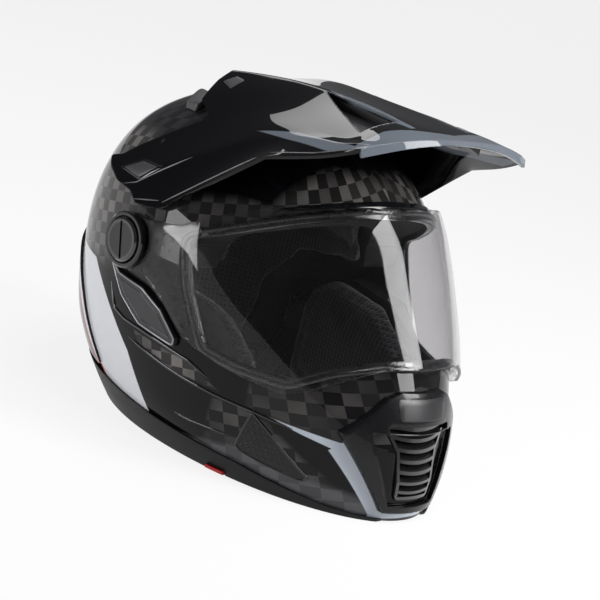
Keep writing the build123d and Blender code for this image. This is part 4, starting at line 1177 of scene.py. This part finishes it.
def on_hood(points, hand, lift):
    """A side view's line laid on the hood, as points in metres."""
    out = []
    for at_y, at_z in stepped(points, 2):
        spot, facing, *_ = hood_skin.ray_cast(Vector((hand * past, at_y, at_z)) * MM, Vector((-hand, 0, 0)))
        on_near_side = spot and spot.x * hand > 50 * MM
        if on_near_side and (not out or (spot - out[-1]).length > 1.2 * MM):
            out.append(spot + facing * lift * MM)
    return out


for hand, side_name in sides:
    node = f"wing_fastener_{side_name}"
    wing_corners = [(hand * 126, 68, 187), (hand * 124, 54, 196), (hand * 122, 37, 197),
                    (hand * 124, 49, 185)]
    ridge_corners = [(hand * 62, 52, 262), (hand * 54, 47, 268), (hand * 55, 38, 268), (hand * 66, 39, 260)]
    foot_plate = lozenge(f"{node}_foot", wider(wing_corners, 1.32), 0.5, 0.6)
    dress(foot_plate, gloss, "peak")
    wing_cover = lozenge(f"{node}_cover", wing_corners, 1.3, 0.4)
    dress(wing_cover, grey_plate, "peak", "helmet", node)
    ridge_cover = lozenge(f"ridge_cover_{side_name}", ridge_corners, 0.9, 0.4)
    dress(ridge_cover, grey_plate, "peak")
    scoop_edge = rounded(grown(scoop_outline(hand), 0.9), 2.0)
    edge_run = []
    for at in stepped(ringed(scoop_edge), 2.5)[:-1]:
        spot, facing, *_ = hood_skin.ray_cast(Vector((at.x, at.y, 300)) * MM, Vector((0, 0, -1)))
        if spot and (not edge_run or (spot - edge_run[-1]).length > 1.0 * MM):
            edge_run.append(spot - facing * 0.2 * MM)
    scoop_bead = tube(f"scoop_bead_{side_name}", edge_run, 0.5, closed=True)
    dress(scoop_bead, edge_highlight_grey, "peak")
    lip_bead = tube(f"lip_bead_{side_name}",
                    on_hood([(-58, 239), (-93, 250), (-111, 258), (-123, 263)], hand, -0.1), 0.5, tip=0.4)
    dress(lip_bead, edge_highlight_grey, "peak")
    wing_lines = joined(f"wing_beads_{side_name}", [
        tube("wing_fold", on_hood([(62, 176), (50, 181), (30, 198), (12, 213)], hand, 0.0), 0.55, tip=0.2),
        tube("wing_edge", on_hood([(-50, 232.6), (16, 176.5)], hand, 0.0), 0.6, tip=0.4),
        tube("wing_end", on_hood([(20, 176.5), (56, 166.5)], hand, 0.0), 0.6, tip=0.4)])
    wing_lines.data.shade_smooth()
    dress(wing_lines, edge_highlight_grey, "peak")


# Cheek pads, crown liner and neck roll: foam sewn into black spacer mesh, which snaps into the shell. Each is
# blown up by Blender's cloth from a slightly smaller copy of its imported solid, then drawn in at its seams.
swell_frames, swell_pressure = 20, 4.0


def stuffed(name, node, voxel, draw, cap, ways, middle=(0, 35, 110)):
    """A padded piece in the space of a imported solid, which may swell inwards but not towards the shell."""
    bm = bmesh.new()
    bm.from_mesh(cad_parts[node].data)
    bmesh.ops.remove_doubles(bm, verts=bm.verts, dist=0.00002)
    bmesh.ops.recalc_face_normals(bm, faces=bm.faces)
    mesh = bpy.data.meshes.new(name)
    bm.to_mesh(mesh)
    piece = add_piece(name, mesh)
    grid = piece.modifiers.new("grid", "REMESH")
    grid.mode = "VOXEL"
    grid.voxel_size = voxel * MM
    slack = piece.modifiers.new("slack", "DISPLACE")
    slack.mid_level = 0.0
    slack.strength = -draw * MM
    settle(piece)
    resting = [v.co.copy() for v in piece.data.vertices]
    scene = bpy.context.scene
    scene.frame_set(1)
    filling = piece.modifiers.new("filling", "CLOTH")
    filling.settings.use_pressure = True
    filling.settings.uniform_pressure_force = swell_pressure
    filling.settings.effector_weights.gravity = 0.0
    filling.point_cache.frame_start = 1
    filling.point_cache.frame_end = swell_frames
    for step in range(1, swell_frames + 1):
        scene.frame_set(step)
    settle(piece)
    scene.frame_set(1)
    for v, start in zip(piece.data.vertices, resting):
        move = v.co - start
        outwards = (start - Vector(middle) * MM) * Vector(ways)
        outwards.normalize()
        move -= outwards * max(0.0, move.dot(outwards))
        if move.length > cap * MM:
            move *= cap * MM / move.length
        v.co = start + move
    return piece


def sew(piece, lines, depth, reach):
    """Draw a piece in along its seams."""
    tree = KDTree(sum(len(line) for line in lines))
    for k, at in enumerate(at for line in lines for at in line):
        tree.insert(at, k)
    tree.balance()
    normals = [v.normal.copy() for v in piece.data.vertices]
    for v, normal in zip(piece.data.vertices, normals):
        away = tree.find(v.co)[2] / (reach * MM)
        v.co -= normal * depth * MM * exp(-away * away)


def touch(piece, points, toward):
    """Where rays from outside meet a piece, as points in metres."""
    skin = skin_of(piece)
    hits = [skin.ray_cast(at, toward) for at in points]
    return [hit[0] + hit[1] * 0.15 * MM for hit in hits if hit[0]]


def stitches(name, lines, length, spacing, thread):
    """Sewn stitches along lines, one small thread bead after another."""
    row = Recipe(name, finish=thread.material, spacing=spacing * MM,
                 stitch=Vector((0.32, 0.32, length / 2)) * MM)
    curve = row.node("GeometryNodeMeshToCurve", None, {0: row.start})
    even = row.node("GeometryNodeResampleCurve", {"mode": "LENGTH"},
                    {"Curve": curve.outputs[0], "Length": row.size("spacing")})
    along = row.node("GeometryNodeInputTangent")
    facing = row.node("FunctionNodeAlignRotationToVector", {"axis": "Z"}, {"Vector": along.outputs[0]})
    bead = row.node("GeometryNodeMeshUVSphere", None, {"Segments": 6, "Rings": 4, "Radius": 1.0})
    spread = row.node("GeometryNodeInstanceOnPoints", None, {
        "Points": even.outputs[0], "Instance": bead.outputs[0],
        "Rotation": facing.outputs[0], "Scale": row.size("stitch")})
    places, edges = [], []
    for line in lines:
        edges += [(len(places) + k, len(places) + k + 1) for k in range(len(line) - 1)]
        places += line
    made = row.made(spread.outputs[0], places, edges)
    made.data.shade_smooth()
    return made


def spacer_mesh(name, sideways):
    """Black spacer mesh: a knit face with rows of small round holes."""
    fabric = Finish(name, (0.030, 0.030, 0.033), 0.85, sheen_weight=0.35, sheen_roughness=0.5)
    x, y, z = fabric.place()
    if sideways:
        u, v = y, z
    else:
        crown = ((z - 165) / 12).clamp()
        round_it = fabric.math("ARCTAN2", x, y - 25) * 84
        u, v = round_it * (1 - crown) + x * crown, z * (1 - crown) + y * crown
    rows = (u * 0.90).math("SINE") * (v * 0.90).math("SINE")
    holes = ((rows.math("ABSOLUTE") - 0.52) / 0.22).clamp()
    yarn = ((u + v) * 5.2).math("SINE") * ((u - v) * 5.2).math("SINE")
    wear = fabric.noise(34, 3)
    tone = fabric.mix(wear, (0.020, 0.020, 0.023), (0.038, 0.036, 0.039))
    tone = fabric.mix(holes, tone, (0.003, 0.003, 0.003))
    fabric.set(base_color=tone, roughness=0.76 + 0.14 * wear)
    fabric.bump(yarn * 0.18 - holes, 0.75, 0.0007)
    return fabric


thread = Finish("black_thread", (0.050, 0.048, 0.052), 0.6, grain=(0.5, 0.2, 500))
side_knit = spacer_mesh("cheek_mesh", True)
round_knit = spacer_mesh("liner_mesh", False)
cheek_outline = side_outline([(-0.441, 0.054), (-0.486, 0.225), (-0.407, 0.342), (-0.192, 0.435),
                              (0.114, 0.450),
                              (0.257, 0.373), (0.257, 0.054)])
for hand, side_name in sides:
    cheek = stuffed(f"cheek_pad_{side_name}_cushion", f"cheek_pad_{side_name}", 3.6, 1.6, 7.0, (1, 0, 0))
    seams = []
    for inset_by in (-5.0, -17.0):
        loop = rounded(grown(cheek_outline, inset_by), 12.0)
        seams.append([Vector((0, y, z)) * MM for y, z in ringed(loop)])
    runs = []
    outwards = Vector((hand, 0, 0))
    for seam in seams:
        dense = [a.lerp(b, k / 4) for a, b in zip(seam, seam[1:]) for k in range(4)]
        runs.append(touch(cheek, [Vector((hand * 20 * MM, at.y, at.z)) for at in dense], outwards))
    sew(cheek, runs, 1.7, 3.4)
    finer(cheek, 1)
    cheek.data.shade_smooth()
    dress(cheek, side_knit, "fabric", "helmet", f"cheek_pad_{side_name}")
    stitch_line = touch(cheek, [Vector((hand * 20 * MM, at.y, at.z)) for at in seams[1]], outwards)
    row = stitches(f"cheek_stitches_{side_name}", [stitch_line], 2.4, 3.4, thread)
    dress(row, None, "fabric")

liner = stuffed("crown_liner_cushion", "comfort_liner", 4.2, 1.2, 4.0, (1, 1, 1))
ribs = []
for across_x in (-52, -26, 0, 26, 52):
    ribs.append(touch(liner, [Vector((across_x, y, 120)) * MM for y in range(-30, 120, 3)],
                      Vector((0, 0, 1))))
sew(liner, [rib for rib in ribs if rib], 1.8, 3.6)
finer(liner, 1)
liner.data.shade_smooth()
dress(liner, round_knit, "fabric", "helmet", "comfort_liner")

collar = stuffed("neck_roll_cushion", "neck_roll", 3.6, 1.4, 5.0, (1, 1, 0))
seam_line = []
collar_skin = skin_of(collar)
for angle in range(-58, 59, 3):
    toward = Vector((sin(radians(angle)), cos(radians(angle)), 0))
    hit = collar_skin.ray_cast(Vector((0, 35, 14)) * MM, toward)
    if hit[0]:
        seam_line.append(hit[0])
sew(collar, [seam_line], 1.6, 3.0)
finer(collar, 1)
collar.data.shade_smooth()
dress(collar, round_knit, "fabric", "helmet", "neck_roll")


# Chin straps: flat woven webbing, riveted to the anchors in the shell, and sewn on the left in two rolls
# round the bars of the D rings. The right strap's free end is hemmed.
def webbing_band(name, path, wall, front, width, closed=False):
    """Flat webbing along a line of the front view, with rounded selvedges."""
    line = [Vector(at) for at in path]
    profile = [(cos(k * pi / 6), sin(k * pi / 6)) for k in range(12)]
    bm = bmesh.new()
    rings = []
    for k, at in enumerate(line):
        if closed:
            ahead = line[(k + 1) % len(line)] - line[k - 1]
        else:
            ahead = line[min(k + 1, len(line) - 1)] - line[max(k - 1, 0)]
        off = Vector((-ahead.y, ahead.x)).normalized()
        ring = []
        for c, q in profile:
            over = (abs(q) ** 0.4) * (1 if q > 0 else -1) * wall / 2
            spread = (abs(c) ** 0.35) * (1 if c > 0 else -1) * width / 2
            corner = Vector((at.x + off.x * over, front + width / 2 + spread, at.y + off.y * over))
            ring.append(bm.verts.new(corner * MM))
        rings.append(ring)
    for low, high in zip(rings, rings[1:] + rings[:1] * closed):
        bridge(bm, low, high)
    if not closed:
        bm.faces.new(rings[0])
        bm.faces.new(rings[-1])
    return built(name, bm)


webbing = Finish("strap_webbing", (0.012, 0.012, 0.014), 0.8, sheen_weight=0.2)
x, y, z = webbing.place()
twill = (y * 2.6).math("SINE") * 0.6 + ((x + z) * 3.4 + y * 1.3).math("SINE") * 0.4
webbing.bump(twill, 0.7, 0.0003)
webbing.set(base_color=webbing.mix(twill * 0.5 + 0.5, (0.008, 0.008, 0.010), (0.020, 0.020, 0.023)),
            roughness=0.72 + 0.14 * webbing.noise(180))
strap_front, strap_across, webbing_wall = 52.0, 25.0, 1.6
anchor_top, anchor_low, strap_out, foot_x, lay_z = 76.5, 51.0, 100.4, 69.0, 2.5
roll_z, roll_x, roll_mid, roll_wall = 4.6, (30.0, 23.0), 2.4, 1.2
bend, stitch_inset = 7, 3.0
for hand, side_name, end in ((1, "left", 23.0), (-1, "right", -8.0)):
    corners = [(strap_out, anchor_top), (strap_out, anchor_low), (foot_x, lay_z), (hand * end, lay_z)]
    run = [corners[0]]
    for a, b, c in zip(corners, corners[1:], corners[2:]):
        before, after = (Vector(a) - Vector(b)).normalized(), (Vector(c) - Vector(b)).normalized()
        for k in range(6):
            t = k / 5
            run.append(tuple(Vector(b) + before * bend * (1 - t) ** 2 + after * bend * t * t))
    run.append(corners[-1])
    dense = [(hand * at.x, at.y) for at in stepped(run, 3)]
    parts = [webbing_band("band", dense, webbing_wall, strap_front, strap_across)]
    if hand > 0:
        for x in roll_x:
            circle_path = [(x + roll_mid * cos(k * pi / 12), roll_z + roll_mid * sin(k * pi / 12))
                           for k in range(24)]
            parts.append(webbing_band("roll", circle_path, roll_wall, strap_front, strap_across, closed=True))
    else:
        hem = [(end - 2 * k, 4.0) for k in range(10)]
        parts.append(webbing_band("hem", hem, 1.4, strap_front, strap_across))
    strap = joined(f"chin_strap_{side_name}", parts)
    strap.data.shade_smooth()
    dress(strap, webbing, "webbing", "helmet", f"strap_{side_name}")
    face = webbing_wall / 2 + 0.05
    rows = []
    for inward in (stitch_inset, strap_across - stitch_inset):
        row_line = []
        for k, (x, z) in enumerate(dense):
            a, b = Vector(dense[max(k - 1, 0)]), Vector(dense[min(k + 1, len(dense) - 1)])
            ahead = (b - a).normalized()
            off = Vector((-ahead.y, ahead.x)) * (-hand)
            row_line.append(Vector((x + off.x * face, strap_front + inward, z + off.y * face)) * MM)
        rows.append(row_line)
    row = stitches(f"strap_stitches_{side_name}", rows, 2.6, 3.6, thread)
    dress(row, None, "webbing")
